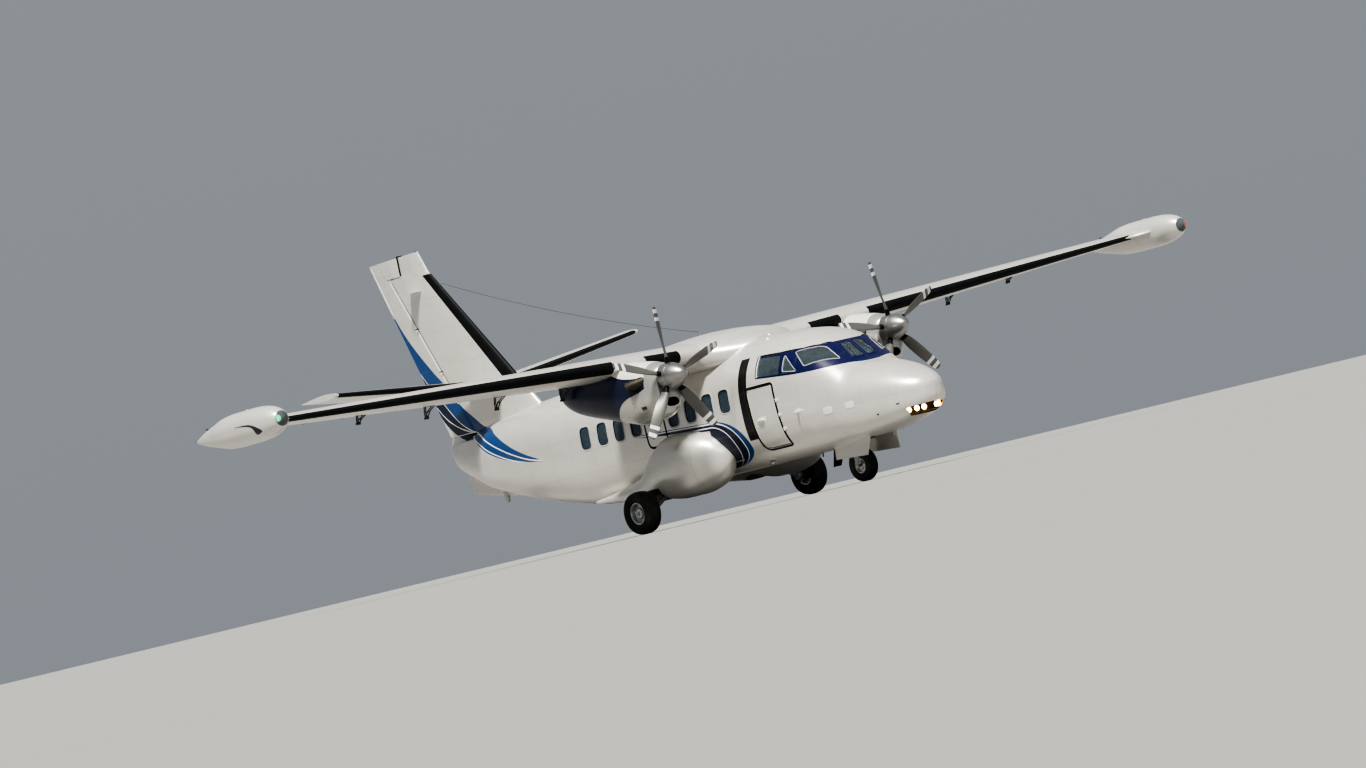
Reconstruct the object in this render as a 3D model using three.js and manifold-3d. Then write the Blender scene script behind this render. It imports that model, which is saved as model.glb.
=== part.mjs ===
// Twin turboprop airliner, parked on its landing gear.
// Millimetres. X points forward, Y to port, Z up, and the tyres stand on Z = 0.
import * as THREE from 'three';
import { mergeVertices } from 'three/addons/utils/BufferGeometryUtils.js';
import Module from 'manifold-3d';

const wasm = await Module();
wasm.setup();

// Driving dimensions. Stations called aft are measured backwards from the nose tip.
const LENGTH = 14424;
const NOSE_X = LENGTH / 2;
const TOUCH = 0.3;
const FIT = 0.6;
const RING_POINTS = 24;
const UPPER_POWER = 2.4;
const LOWER_POWER = 3;

// Fuselage sections: aft, top, bottom, half width
const FUSELAGE = [
  [0, 1300, 1110, 60],
  [30, 1360, 1030, 170],
  [120, 1450, 950, 290],
  [300, 1550, 870, 430],
  [670, 1710, 770, 600],
  [1000, 1810, 720, 700],
  [1370, 1900, 680, 800],
  [1900, 2390, 650, 900],
  [2200, 2530, 635, 950],
  [2500, 2610, 620, 980],
  [3150, 2680, 610, 1030],
  [3900, 2710, 610, 1040],
  [8300, 2710, 610, 1040],
  [9350, 2690, 760, 980],
  [10200, 2650, 930, 860],
  [11000, 2580, 1130, 700],
  [11850, 2490, 1370, 520],
  [12540, 2380, 1680, 330],
  [12900, 2360, 1860, 220],
  [13130, 2360, 2100, 100],
];
const NOSE_JOINT = 1370;
const FLIGHT_DECK_JOINT = 3500;
const TAIL_JOINT = 10200;
const TAIL_END = 13130;
const SHELL_WALL = 45;
const FRONT_WALL = 80;
const FLIGHT_DECK_FLOOR = 880;
const CABIN_FLOOR = 800;
const CABIN_FLOOR_THICK = 35;
const REAR_BULKHEAD = 60;
const TAIL_HOLLOW_END = 12700;

// Nose-wheel bay under the flight deck floor
const NOSE_BAY = { front: 1480, rear: 2480, halfWidth: 290, roof: 830 };

// Doors: front edge, rear edge (both aft), sill and head heights, corner cut, gap to the frame
// The free edges get a wider gap, because they swing a little outwards before they clear the frame
const DOOR_GAP = 8;
const SWING_GAP = 16;
const CREW_DOOR = { front: 2812, rear: 3425, sill: 875, head: 1890, corner: 130, rearGap: SWING_GAP };
const CARGO_DOOR = { front: 7600, rear: 8046, sill: 812, head: 2260, corner: 60, rearGap: DOOR_GAP };
const PASSENGER_DOOR = { front: 8054, rear: 8850, sill: 812, head: 2260, corner: 60, rearGap: DOOR_GAP };

// Flight deck panes, starboard side: corners as aft, distance from the centre, height
const PANE_DEPTH = 8;
const PANE_THICK = 12;
const PANES = [
  {
    name: 'windscreen',
    corners: [[1790, 35, 2280], [1790, 225, 2262], [1505, 262, 2000], [1478, 35, 2000]],
    outward: [0.72, 0, 0.7],
  },
  {
    name: 'quarter_window',
    corners: [[1850, 460, 2250], [2300, 738, 2300], [2060, 830, 2040], [1585, 450, 2015]],
    outward: [0.45, -0.75, 0.48],
  },
  {
    name: 'side_window',
    corners: [[2530, 780, 2305], [3120, 815, 2360], [3120, 977, 2050], [2180, 890, 1965]],
    outward: [0.05, -0.97, 0.22],
  },
];

// Lifting surfaces: each is a straight taper between two stations.
// span, lead (aft), chord, height, thickness ratio, twist in degrees
const WING = {
  root: { span: 0, lead: 4350, chord: 2534, height: 2643, thick: 0.18, twist: 2 },
  tip: { span: 9480, lead: 4642, chord: 1267, height: 3088, thick: 0.12, twist: -0.5 },
  camber: 0.022,
};
const TAILPLANE = {
  root: { span: 0, lead: 11110, chord: 1750, height: 3163, thick: 0.12, twist: 0 },
  tip: { span: 3368, lead: 11520, chord: 1090, height: 3577, thick: 0.1, twist: 0 },
  camber: 0,
};
const FIN = {
  root: { span: 2300, lead: 10012, chord: 3103, height: 0, thick: 0.1, twist: 0 },
  tip: { span: 5829, lead: 13012, chord: 1412, height: 0, thick: 0.09, twist: 0 },
  camber: 0,
};
const WING_START = 200;
const WING_END = 9500;
const FLAP_HINGE = 0.73;
const ELEVATOR_HINGE = 0.62;
const RUDDER_HINGE = 0.716;
const HINGE_GAP = 10;
const LIP_REACH = 60;
const LIP_MARGIN = 5;
const PANEL_WALL = 25;
const FIN_HOLLOW = { from: 2200, to: 5200, front: 0.06, rear: 0.63 };
const TAILPLANE_HOLLOW = { from: 0, to: 3200, front: 0.06, rear: 0.53 };
// Control surfaces: from and to are span stations, side is the clear gap at each end,
// and up and down are how far the surface turns, in degrees
const AILERON = { from: 6260, to: 9330, side: 25, up: 20, down: 20 };
const FLAP_INNER = { from: 1160, to: 1960, side: 35, up: 0, down: 42 };
const FLAP_OUTER = { from: 2870, to: 6190, side: 35, up: 0, down: 42 };
const ELEVATOR = { from: 260, to: 3290, side: 30, up: 30, down: 14 };
const RUDDER = { from: 2470, to: 5829, side: 25, up: 17, down: 17 };
const RUDDER_ROOM_FROM = 2330;
const FIN_CAP = { bottom: 5440, top: 5829, rear: 13468, leadBottom: 12686, leadTop: 12860 };
const HORN = { front: 13505, bottom: 5502 };

// Centre-section fairing over the fuselage: aft, top, half width
const FAIRING = [
  [3760, 2735, 420],
  [4100, 2830, 800],
  [4500, 2950, 1060],
  [5200, 3010, 1085],
  [6100, 2975, 1085],
  [6950, 2850, 1000],
  [7550, 2745, 560],
];
const FAIRING_BOTTOM = 2300;

// Tip tank profile: aft, radius
const TANK = [
  [3800, 0], [3835, 90], [3920, 160], [4080, 222], [4300, 258], [4600, 270],
  [5350, 270], [5700, 252], [5980, 208], [6200, 145], [6330, 70], [6350, 0],
];
const TANK_SIDES = 16;
const TANK_Y = 9720;
const TANK_Z = 3070;

// Nacelle sections: aft, top, bottom, half width
const NACELLE = [
  [3622, 2625, 1880, 240],
  [3720, 2655, 1800, 300],
  [3950, 2710, 1735, 350],
  [4290, 2760, 1720, 372],
  [4750, 2800, 1820, 372],
  [5220, 2800, 1950, 360],
  [5570, 2800, 2040, 330],
  [6080, 2790, 2220, 260],
  [6300, 2780, 2400, 190],
  [6370, 2770, 2560, 130],
];
const PROP_Y = 2407.5;
const PROP_Z = 2400;
const NACELLE_BAY = { front: 3760, rear: 5120, halfWidth: 265, bottom: 2060, top: 2570 };
const ENGINE = { front: 3790, rear: 5090, halfWidth: 245, bottom: 2090, top: 2540 };
const SHAFT_RADIUS = 70;
const SHAFT_HOLE = 110;
const INTAKE = { height: 1995, halfWidth: 135, halfHeight: 72, depth: 260 };
const EXHAUST = {
  radius: 88, bore: 70,
  from: { aft: 3880, out: 250, height: 2420 },
  to: { aft: 4120, out: 455, height: 2370 },
};

// Propeller
const PROP_AFT = 3516;
const BLADES = 5;
// Degrees from one blade straight up, as the photo catches each propeller
const PROP_TURN = { port: 8, starboard: 0 };
const HUB = { front: 3420, rear: 3608, radius: 214, sides: 20 };
// Blade stations: radius, chord, thickness, pitch in degrees
const BLADE = [
  [190, 110, 96, 62],
  [330, 150, 62, 52],
  [560, 185, 34, 40],
  [850, 175, 20, 30],
  [1060, 140, 12, 25],
  [1150, 84, 8, 23],
];
// Spinner profile: aft, radius
const SPINNER = [[3120, 0], [3132, 45], [3175, 95], [3250, 147], [3335, 186], [3412, 208]];

// Landing gear
const MAIN_AFT = 5860;
const MAIN_Y = 1825;
const NOSE_WHEEL_AFT = 2190;
const NOSE_LEG_AFT = 2150;
// Tyre profiles: radius, offset from the wheel's middle plane
const MAIN_TYRE = [
  [186, -104], [246, -148], [312, -146], [348, -100], [359, -45],
  [359, 45], [348, 100], [312, 146], [246, 148], [186, 104], [186, -104],
];
const MAIN_RIM = [
  [34, -72], [84, -72], [96, -34], [158, -34], [158, -106], [185.6, -106],
  [185.6, 106], [158, 106], [158, 10], [96, 10], [84, 72], [34, 72], [34, -72],
];
const NOSE_TYRE = [
  [134, -72], [186, -107], [238, -104], [265, -72], [274, -32],
  [274, 32], [265, 72], [238, 104], [186, 107], [134, 72], [134, -72],
];
const NOSE_RIM = [
  [28, -62], [62, -62], [114, -40], [114, -74], [133.6, -74],
  [133.6, 74], [114, 74], [114, 40], [62, 62], [28, 62], [28, -62],
];
const WHEEL_SIDES = 24;
const MAIN_RADIUS = 359;
const NOSE_RADIUS = 274;
const AXLE = { main: 27, nose: 21 };
const WHEEL_RECESS = { y: 960, radius: 385, roof: 640 };
const LEG_SLOT = { front: 5700, rear: 6020, inner: 960, outer: 1700, roof: 690 };

// Sponson sections: aft, top, bottom, inner side, outer side (both from the centre)
const SPONSON = [
  [4330, 1010, 820, 850, 1010],
  [4400, 1120, 700, 780, 1110],
  [4550, 1290, 570, 680, 1250],
  [4800, 1420, 470, 560, 1400],
  [5150, 1490, 415, 480, 1520],
  [5550, 1500, 415, 450, 1550],
  [5800, 1370, 430, 450, 1540],
  [6050, 1180, 450, 460, 1500],
  [6350, 1000, 480, 500, 1400],
  [6800, 900, 530, 580, 1290],
  [7300, 830, 600, 680, 1150],
  [7580, 790, 630, 740, 1080],
  [8200, 740, 680, 820, 950],
];

// Ventral fin: outline as aft, height, and half thickness at that point
const TAIL_BUMPER = { aft: 11940, top: 1330, bottom: 1115 };
const VENTRAL = [[11150, 1250, 40], [11400, 1150, 22], [12770, 1380, 22], [13075, 2190, 20], [12300, 1800, 60]];

function x(aft) {
  return NOSE_X - aft;
}

function mix(a, b, t) {
  return a + (b - a) * t;
}

// A closed three.js geometry as a solid that can be cut and joined
function solidOf(geometry) {
  const bare = geometry.clone();
  bare.deleteAttribute('normal');
  bare.deleteAttribute('uv');
  const merged = mergeVertices(bare, 1e-3);
  const points = Float32Array.from(merged.attributes.position.array);
  const triangles = [];
  const index = merged.index.array;
  for (let i = 0; i < index.length; i += 3) {
    const [a, b, c] = [index[i], index[i + 1], index[i + 2]];
    if (a !== b && b !== c && c !== a) triangles.push(a, b, c);
  }
  return new wasm.Manifold(
    new wasm.Mesh({ numProp: 3, vertProperties: points, triVerts: outwards(points, triangles) }),
  );
}

// Turns the faces round when the enclosed volume comes out negative
function outwards(points, triangles) {
  const corner = (i) => new THREE.Vector3().fromArray(points, 3 * i);
  let volume = 0;
  for (let i = 0; i < triangles.length; i += 3) {
    const [a, b, c] = [corner(triangles[i]), corner(triangles[i + 1]), corner(triangles[i + 2])];
    volume += a.dot(b.cross(c));
  }
  if (volume < 0) {
    for (let i = 0; i < triangles.length; i += 3) {
      [triangles[i], triangles[i + 1]] = [triangles[i + 1], triangles[i]];
    }
  }
  return Uint32Array.from(triangles);
}

// A skin over rings of equal length, closed by a flat cap at each end
function loft(rings) {
  const count = rings[0].length;
  const points = rings.flat(2);
  const triangles = [];
  for (let r = 0; r < rings.length - 1; r++) {
    for (let i = 0; i < count; i++) {
      const a = r * count + i;
      const b = r * count + (i + 1) % count;
      triangles.push(a, b, b + count, a, b + count, a + count);
    }
  }
  const last = (rings.length - 1) * count;
  for (const [a, b, c] of capOf(rings[0])) triangles.push(a, c, b);
  for (const [a, b, c] of capOf(rings.at(-1))) triangles.push(last + a, last + b, last + c);
  const geometry = new THREE.BufferGeometry();
  geometry.setAttribute('position', new THREE.Float32BufferAttribute(points, 3));
  geometry.setIndex(triangles);
  return solidOf(geometry);
}

// Triangles over one ring, seen along the axis that its plane faces most, wound like the ring
function capOf(ring) {
  const normal = new THREE.Vector3();
  ring.forEach((p, i) => {
    const q = ring[(i + 1) % ring.length];
    normal.x += (p[1] - q[1]) * (p[2] + q[2]);
    normal.y += (p[2] - q[2]) * (p[0] + q[0]);
    normal.z += (p[0] - q[0]) * (p[1] + q[1]);
  });
  const sizes = normal.toArray().map(Math.abs);
  const drop = sizes.indexOf(Math.max(...sizes));
  const [u, v] = [(drop + 1) % 3, (drop + 2) % 3];
  const flat = ring.map((p) => new THREE.Vector2(p[u], p[v]));
  const clockwise = THREE.ShapeUtils.isClockWise(flat);
  const order = flat.map((_, i) => i);
  if (clockwise) order.reverse();
  const faces = THREE.ShapeUtils.triangulateShape(order.map((i) => flat[i]), []);
  return faces.map((face) => {
    const [a, b, c] = face.map((i) => order[i]);
    return clockwise ? [a, c, b] : [a, b, c];
  });
}

// An oval section in the plane of one station, squarer below its middle than above it
function oval(aft, middle, top, bottom, halfWidth, lower = LOWER_POWER, count = RING_POINTS) {
  const centre = (top + bottom) / 2;
  const halfHeight = (top - bottom) / 2;
  const ring = [];
  for (let i = 0; i < count; i++) {
    const turn = (2 * Math.PI * i) / count;
    const [c, s] = [Math.cos(turn), Math.sin(turn)];
    const power = 2 / (s >= 0 ? UPPER_POWER : lower);
    ring.push([
      x(aft),
      middle + halfWidth * Math.sign(c) * Math.abs(c) ** power,
      centre + halfHeight * Math.sign(s) * Math.abs(s) ** power,
    ]);
  }
  return ring;
}

// Rows of a table between two stations, with a row worked out at each of the two
function rowsBetween(table, from, to) {
  const rowAt = (aft) => {
    const next = table.findIndex((row) => row[0] >= aft);
    if (next <= 0) return [aft, ...table.at(next).slice(1)];
    const [a, b] = [table[next - 1], table[next]];
    const t = (aft - a[0]) / (b[0] - a[0]);
    return a.map((value, i) => mix(value, b[i], t));
  };
  return [rowAt(from), ...table.filter((row) => row[0] > from + 1 && row[0] < to - 1), rowAt(to)];
}

function fuselage(from, to, grow) {
  return loft(rowsBetween(FUSELAGE, from, to).map(
    ([aft, top, bottom, half]) => oval(aft, 0, top + grow, bottom - grow, half + grow),
  ));
}

function block(front, rear, left, right, bottom, top) {
  const box = new THREE.BoxGeometry(rear - front, Math.abs(right - left), top - bottom);
  box.translate(x((front + rear) / 2), (left + right) / 2, (bottom + top) / 2);
  return solidOf(box);
}

// A round bar between two points, each given as aft, y, height
function rod(from, to, radius, endRadius = radius, sides = 12) {
  const a = new THREE.Vector3(x(from[0]), from[1], from[2]);
  const b = new THREE.Vector3(x(to[0]), to[1], to[2]);
  const along = b.clone().sub(a);
  const bar = new THREE.CylinderGeometry(endRadius, radius, along.length(), sides);
  const turn = new THREE.Quaternion().setFromUnitVectors(new THREE.Vector3(0, 1, 0), along.clone().normalize());
  bar.applyQuaternion(turn);
  bar.translate(...a.add(b).divideScalar(2).toArray());
  return solidOf(bar);
}

// A turned piece about the Y axis: rows are radius, distance along the axis
function turned(profile, sides) {
  return solidOf(new THREE.LatheGeometry(profile.map(([r, y]) => new THREE.Vector2(r, y)), sides));
}

// A piece turned about the X axis from rows of aft and radius, round a centre line
function spindle(profile, y, z, sides, grow = 0) {
  const points = profile.map(([aft, r]) => new THREE.Vector2(r > 0 ? r + grow : 0, x(aft)));
  const body = new THREE.LatheGeometry(points, sides);
  body.rotateZ(-Math.PI / 2);
  body.translate(0, y, z);
  return solidOf(body);
}

// A prism through a list of corners along a direction, from below the skin to above it
function throughCorners(corners, outward, inside, outside) {
  const way = new THREE.Vector3(...outward).normalize();
  const shifted = (amount) => corners.map(
    (p) => new THREE.Vector3(...p).addScaledVector(way, amount).toArray(),
  );
  return loft([shifted(-inside), shifted(outside)]);
}

// Half thickness of an aerofoil at a fraction of its chord
function halfThickness(fraction, ratio) {
  const f = Math.min(Math.max(fraction, 0), 1);
  return 5 * ratio * (0.2969 * Math.sqrt(f) - 0.126 * f - 0.3516 * f ** 2 + 0.2843 * f ** 3 - 0.1016 * f ** 4);
}

// A point of a panel's section, mixed from its root and tip so that every skin line is straight.
// back is along the chord and up is square to it, each worked out from a row. Fins stand on edge.
function place(panel, span, back, up, side) {
  const { root, tip } = panel;
  const t = (span - root.span) / (tip.span - root.span);
  const [a, b] = [root, tip].map((row) => {
    const turn = THREE.MathUtils.degToRad(row.twist);
    const [along, square] = [back(row), up(row)];
    return [
      row.lead + along * Math.cos(turn) + square * Math.sin(turn),
      row.height + square * Math.cos(turn) - along * Math.sin(turn),
    ];
  });
  const [aft, rise] = [mix(a[0], b[0], t), mix(a[1], b[1], t)];
  return panel === FIN ? [x(aft), rise, span] : [x(aft), side * span, rise];
}

// Height of the upper (sign 1) or lower (sign -1) skin at a fraction of the chord
function skin(panel, fraction, sign, extra = 0) {
  const camber = 4 * panel.camber * fraction * (1 - fraction);
  return (row) => row.chord * (camber + sign * halfThickness(fraction, row.thick)) + sign * extra;
}

const CHORD_STEPS = [1, 0.85, 0.7, 0.5, 0.3, 0.15, 0.05, 0.0125];

function aerofoil(panel, span, side, grow = 0) {
  const point = (f, sign) => place(
    panel, span, (row) => mix(-grow, row.chord + grow, f), skin(panel, f, sign, grow), side,
  );
  return [
    ...CHORD_STEPS.map((f) => point(f, 1)),
    place(panel, span, () => -grow, () => 0, side),
    ...CHORD_STEPS.toReversed().map((f) => point(f, -1)),
  ];
}

// A point round the hinge: degrees are counted from the top, over the front, to the bottom
function roundHinge(panel, span, hinge, side, grow, degrees) {
  const radius = (row) => row.chord * halfThickness(hinge, row.thick) + grow;
  const turn = THREE.MathUtils.degToRad(degrees);
  return place(
    panel, span,
    (row) => hinge * row.chord - radius(row) * Math.sin(turn),
    (row) => skin(panel, hinge, 0)(row) + radius(row) * Math.cos(turn),
    side,
  );
}

function hingeArc(panel, span, hinge, side, grow, steps, from = 0, to = 180) {
  const arc = [];
  for (let i = 0; i <= steps; i++) {
    arc.push(roundHinge(panel, span, hinge, side, grow, mix(from, to, i / steps)));
  }
  return arc;
}

// The moving part behind a hinge line: a round nose about the hinge, then the aerofoil's tail
function control(panel, spans, hinge, side) {
  const middle = mix(hinge, 1, 0.5);
  return loft([spans.from, spans.to].map((span) => {
    const point = (f, sign) => place(panel, span, (row) => f * row.chord, skin(panel, f, sign), side);
    return [
      point(1, 1), point(middle, 1), ...hingeArc(panel, span, hinge, side, 0, 6),
      point(middle, -1), point(1, -1),
    ];
  }));
}

// The room that a moving part needs in the panel that carries it. The lips above and below end
// where the part's own skin stands at the end of its travel.
function controlRoom(panel, spans, hinge, side) {
  const [first, last] = [spans.up + LIP_MARGIN, 180 - spans.down - LIP_MARGIN];
  return loft([spans.from - spans.side, spans.to + spans.side].map((span) => {
    const behind = (sign) => place(
      panel, span, (row) => row.chord + 150, skin(panel, hinge, sign, LIP_REACH), side,
    );
    const beyond = (degrees) => roundHinge(panel, span, hinge, side, LIP_REACH, degrees);
    return [
      behind(1), beyond(first), ...hingeArc(panel, span, hinge, side, HINGE_GAP, 8, first, last),
      beyond(last), behind(-1),
    ];
  }));
}

// The space inside a hollow panel, between two chord fractions and two spans
function panelHollow(panel, spans, side) {
  const fractions = [spans.front, 0.15, 0.3, 0.5, spans.rear];
  return loft([spans.from, spans.to].map((span) => {
    const line = (sign) => fractions.map(
      (f) => place(panel, span, (row) => f * row.chord, skin(panel, f, sign, -PANEL_WALL), side),
    );
    return [...line(1), ...line(-1).toReversed()];
  }));
}

// Outline of a door on the fuselage side, shrunk by a gap; the cut corner is the lower rear one
function doorPrism(door, side, isPanel, from, to) {
  const gap = isPanel ? DOOR_GAP : 0;
  const [front, rear] = [door.front + gap, door.rear - (isPanel ? door.rearGap : 0)];
  const [sill, head] = [door.sill + (isPanel ? SWING_GAP : 0), door.head - gap];
  const { corner } = door;
  const small = 45;
  const outline = [
    [front, sill + small], [front + small, sill], [rear - corner, sill], [rear, sill + corner],
    [rear, head - small], [rear - small, head], [front + small, head], [front, head - small],
  ];
  const ring = (y) => outline.map(([aft, height]) => [x(aft), side * y, height]);
  return loft([ring(from), ring(to)]);
}

const DOOR_REACH = { from: 300, to: 1300 };

function doorPanel(door, side) {
  const { from, to } = DOOR_REACH;
  const panel = fuselage(door.front - 50, door.rear + 50, 0)
    .subtract(fuselage(door.front - 60, door.rear + 60, -SHELL_WALL));
  return panel.intersect(doorPrism(door, side, true, from, to));
}

function doorHole(door, side) {
  return doorPrism(door, side, false, DOOR_REACH.from, DOOR_REACH.to);
}

// Corners of a pane on either side, drawn in towards their middle by a small amount
function paneCorners(pane, side, shrink) {
  const corners = pane.corners.map(([aft, y, z]) => new THREE.Vector3(x(aft), side * y, z));
  const middle = corners.reduce((sum, p) => sum.add(p), new THREE.Vector3()).divideScalar(corners.length);
  return corners.map((p) => {
    const inwards = middle.clone().sub(p);
    return p.clone().addScaledVector(inwards.normalize(), shrink).toArray();
  });
}

function paneHole(pane, side, shrink = 0) {
  const [ox, oy, oz] = pane.outward;
  return throughCorners(paneCorners(pane, side, shrink), [ox, -side * oy, oz], 160, 220);
}

function paneGlass(pane, side) {
  const layer = fuselage(NOSE_JOINT + 20, FLIGHT_DECK_JOINT - 20, -PANE_DEPTH)
    .subtract(fuselage(NOSE_JOINT + 10, FLIGHT_DECK_JOINT - 10, -PANE_DEPTH - PANE_THICK));
  return layer.intersect(paneHole(pane, side, FIT));
}

const PAINT = {
  white: new THREE.MeshStandardMaterial({ color: 0xdedcd6, roughness: 0.3, metalness: 0.15 }),
  navy: new THREE.MeshStandardMaterial({ color: 0x14204a, roughness: 0.3, metalness: 0.1 }),
  silver: new THREE.MeshStandardMaterial({ color: 0xa9a79f, roughness: 0.35, metalness: 0.5 }),
  blade: new THREE.MeshStandardMaterial({ color: 0x6c6d68, roughness: 0.45, metalness: 0.3 }),
  gear: new THREE.MeshStandardMaterial({ color: 0x8e9194, roughness: 0.4, metalness: 0.5 }),
  rubber: new THREE.MeshStandardMaterial({ color: 0x17181a, roughness: 0.85, metalness: 0 }),
  alloy: new THREE.MeshStandardMaterial({ color: 0xb4b6b8, roughness: 0.35, metalness: 0.8 }),
  glass: new THREE.MeshStandardMaterial({ color: 0x2c3a40, roughness: 0.05, metalness: 0 }),
  engine: new THREE.MeshStandardMaterial({ color: 0x5a5a58, roughness: 0.6, metalness: 0.6 }),
  cloth: new THREE.MeshStandardMaterial({ color: 0x3a4048, roughness: 0.9, metalness: 0 }),
  dark: new THREE.MeshStandardMaterial({ color: 0x222426, roughness: 0.8, metalness: 0 }),
  floor: new THREE.MeshStandardMaterial({ color: 0x8b8d8c, roughness: 0.6, metalness: 0.2 }),
};

const group = new THREE.Group();

function add(name, solid, material, position = [0, 0, 0]) {
  const { numProp, vertProperties, triVerts } = solid.getMesh();
  const points = [];
  for (let i = 0; i < vertProperties.length; i += numProp) {
    points.push(vertProperties[i], vertProperties[i + 1], vertProperties[i + 2]);
  }
  const geometry = new THREE.BufferGeometry();
  geometry.setAttribute('position', new THREE.Float32BufferAttribute(points, 3));
  geometry.setIndex([...triVerts]);
  geometry.computeVertexNormals();
  const mesh = new THREE.Mesh(geometry, material);
  mesh.name = name;
  mesh.position.set(...position);
  group.add(mesh);
}

const SIDES = [{ tag: 'port', side: 1 }, { tag: 'starboard', side: -1 }];

function makeNose() {
  add('nose_section', fuselage(0, NOSE_JOINT - TOUCH, 0), PAINT.white);
}

function makeFlightDeck() {
  const inside = fuselage(NOSE_JOINT + FRONT_WALL, FLIGHT_DECK_JOINT + 20, -SHELL_WALL)
    .subtract(block(NOSE_JOINT - 100, FLIGHT_DECK_JOINT + 100, -1200, 1200, 400, FLIGHT_DECK_FLOOR));
  const { front, rear, halfWidth, roof } = NOSE_BAY;
  let shell = fuselage(NOSE_JOINT, FLIGHT_DECK_JOINT, 0)
    .subtract(inside)
    .subtract(block(front, rear, -halfWidth, halfWidth, 300, roof))
    .subtract(doorHole(CREW_DOOR, -1));
  for (const { side } of SIDES) {
    for (const pane of PANES) shell = shell.subtract(paneHole(pane, side));
  }
  add('flight_deck_shell', shell, PAINT.white);
  add('crew_door', doorPanel(CREW_DOOR, -1), PAINT.white);
  for (const { tag, side } of SIDES) {
    for (const pane of PANES) add(`${pane.name}_${tag}`, paneGlass(pane, side), PAINT.glass);
  }
}

// Seats and the instrument panel, seen through the panes
const SEAT = { aft: 2720, y: 400, height: FLIGHT_DECK_FLOOR + TOUCH };
const PANEL = { front: 1930, rear: 2010, halfWidth: 640, bottom: 1180, top: 1900 };

function makeFlightDeckFittings() {
  for (const { tag, side } of SIDES) {
    const { aft, y, height } = SEAT;
    const seat = block(aft - 210, aft + 210, -205, 205, height + 330, height + 430)
      .add(block(aft + 150, aft + 250, -205, 205, height + 400, height + 1020))
      .add(block(aft + 160, aft + 230, -110, 110, height + 1000, height + 1160))
      .add(block(aft - 170, aft + 170, -150, 150, height, height + 340));
    add(`pilot_seat_${tag}`, seat, PAINT.cloth, [0, side * y, 0]);
  }
  const { front, rear, halfWidth, bottom, top } = PANEL;
  const board = block(front, rear, -halfWidth, halfWidth, bottom, top)
    .add(block(front - 20, rear + 20, -130, 130, FLIGHT_DECK_FLOOR + TOUCH, bottom + 40))
    .intersect(fuselage(NOSE_JOINT + 20, FLIGHT_DECK_JOINT - 20, -SHELL_WALL - FIT));
  add('instrument_panel', board, PAINT.dark);
}

function makeCabin() {
  const shell = fuselage(FLIGHT_DECK_JOINT + TOUCH, TAIL_JOINT, 0)
    .subtract(fuselage(FLIGHT_DECK_JOINT - 20, TAIL_JOINT - REAR_BULKHEAD, -SHELL_WALL))
    .subtract(doorHole(CARGO_DOOR, 1))
    .subtract(doorHole(PASSENGER_DOOR, 1));
  add('cabin_shell', shell, PAINT.white);
  const floor = block(
    FLIGHT_DECK_JOINT + FIT, TAIL_JOINT - REAR_BULKHEAD - FIT, -1200, 1200,
    CABIN_FLOOR - CABIN_FLOOR_THICK, CABIN_FLOOR,
  ).intersect(fuselage(FLIGHT_DECK_JOINT - 20, TAIL_JOINT + 20, -SHELL_WALL - FIT));
  add('cabin_floor', floor, PAINT.floor);
  add('cargo_door', doorPanel(CARGO_DOOR, 1), PAINT.white);
  add('passenger_door', doorPanel(PASSENGER_DOOR, 1), PAINT.white);
}

function makeTailCone() {
  const ventral = loft([1, -1].map(
    (side) => VENTRAL.map(([aft, height, half]) => [x(aft), side * half, height]),
  ));
  const cone = fuselage(TAIL_JOINT + TOUCH, TAIL_END, 0)
    .add(ventral)
    .add(rod([TAIL_BUMPER.aft, 0, TAIL_BUMPER.top], [TAIL_BUMPER.aft, 0, TAIL_BUMPER.bottom], 55, 34, 10))
    .subtract(fuselage(TAIL_JOINT - 20, TAIL_HOLLOW_END, -SHELL_WALL));
  add('tail_cone', cone, PAINT.white);
}

function fairing(grow) {
  return loft(FAIRING.map(([aft, top, half], i) => {
    const end = i === 0 ? -grow : i === FAIRING.length - 1 ? grow : 0;
    return oval(aft + end, 0, top + grow, FAIRING_BOTTOM - grow, half + grow, UPPER_POWER, 20);
  }));
}

function tank(side, grow) {
  return spindle(TANK, side * TANK_Y, TANK_Z, TANK_SIDES, grow);
}

function wholeWing(side, grow = 0) {
  return loft([aerofoil(WING, WING_START, side, grow), aerofoil(WING, WING_END, side, grow)]);
}

// Hinge brackets under the wing: span, how far below the skin they reach
const BRACKETS = [3960, 5360, 6690, 7540, 9000];
const BRACKET = { front: 0.58, depth: 95, half: 14 };

function bracket(span, side) {
  const rear = FLAP_HINGE - 0.035;
  const ring = (across) => {
    const point = (f, below) => place(
      WING, span + across, (row) => f * row.chord, skin(WING, f, -1, below), side,
    );
    return [
      point(BRACKET.front, -12), point(rear, -12),
      point(rear, BRACKET.depth), point(rear - 0.02, BRACKET.depth + 20),
    ];
  };
  return loft([ring(-BRACKET.half), ring(BRACKET.half)]);
}

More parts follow.
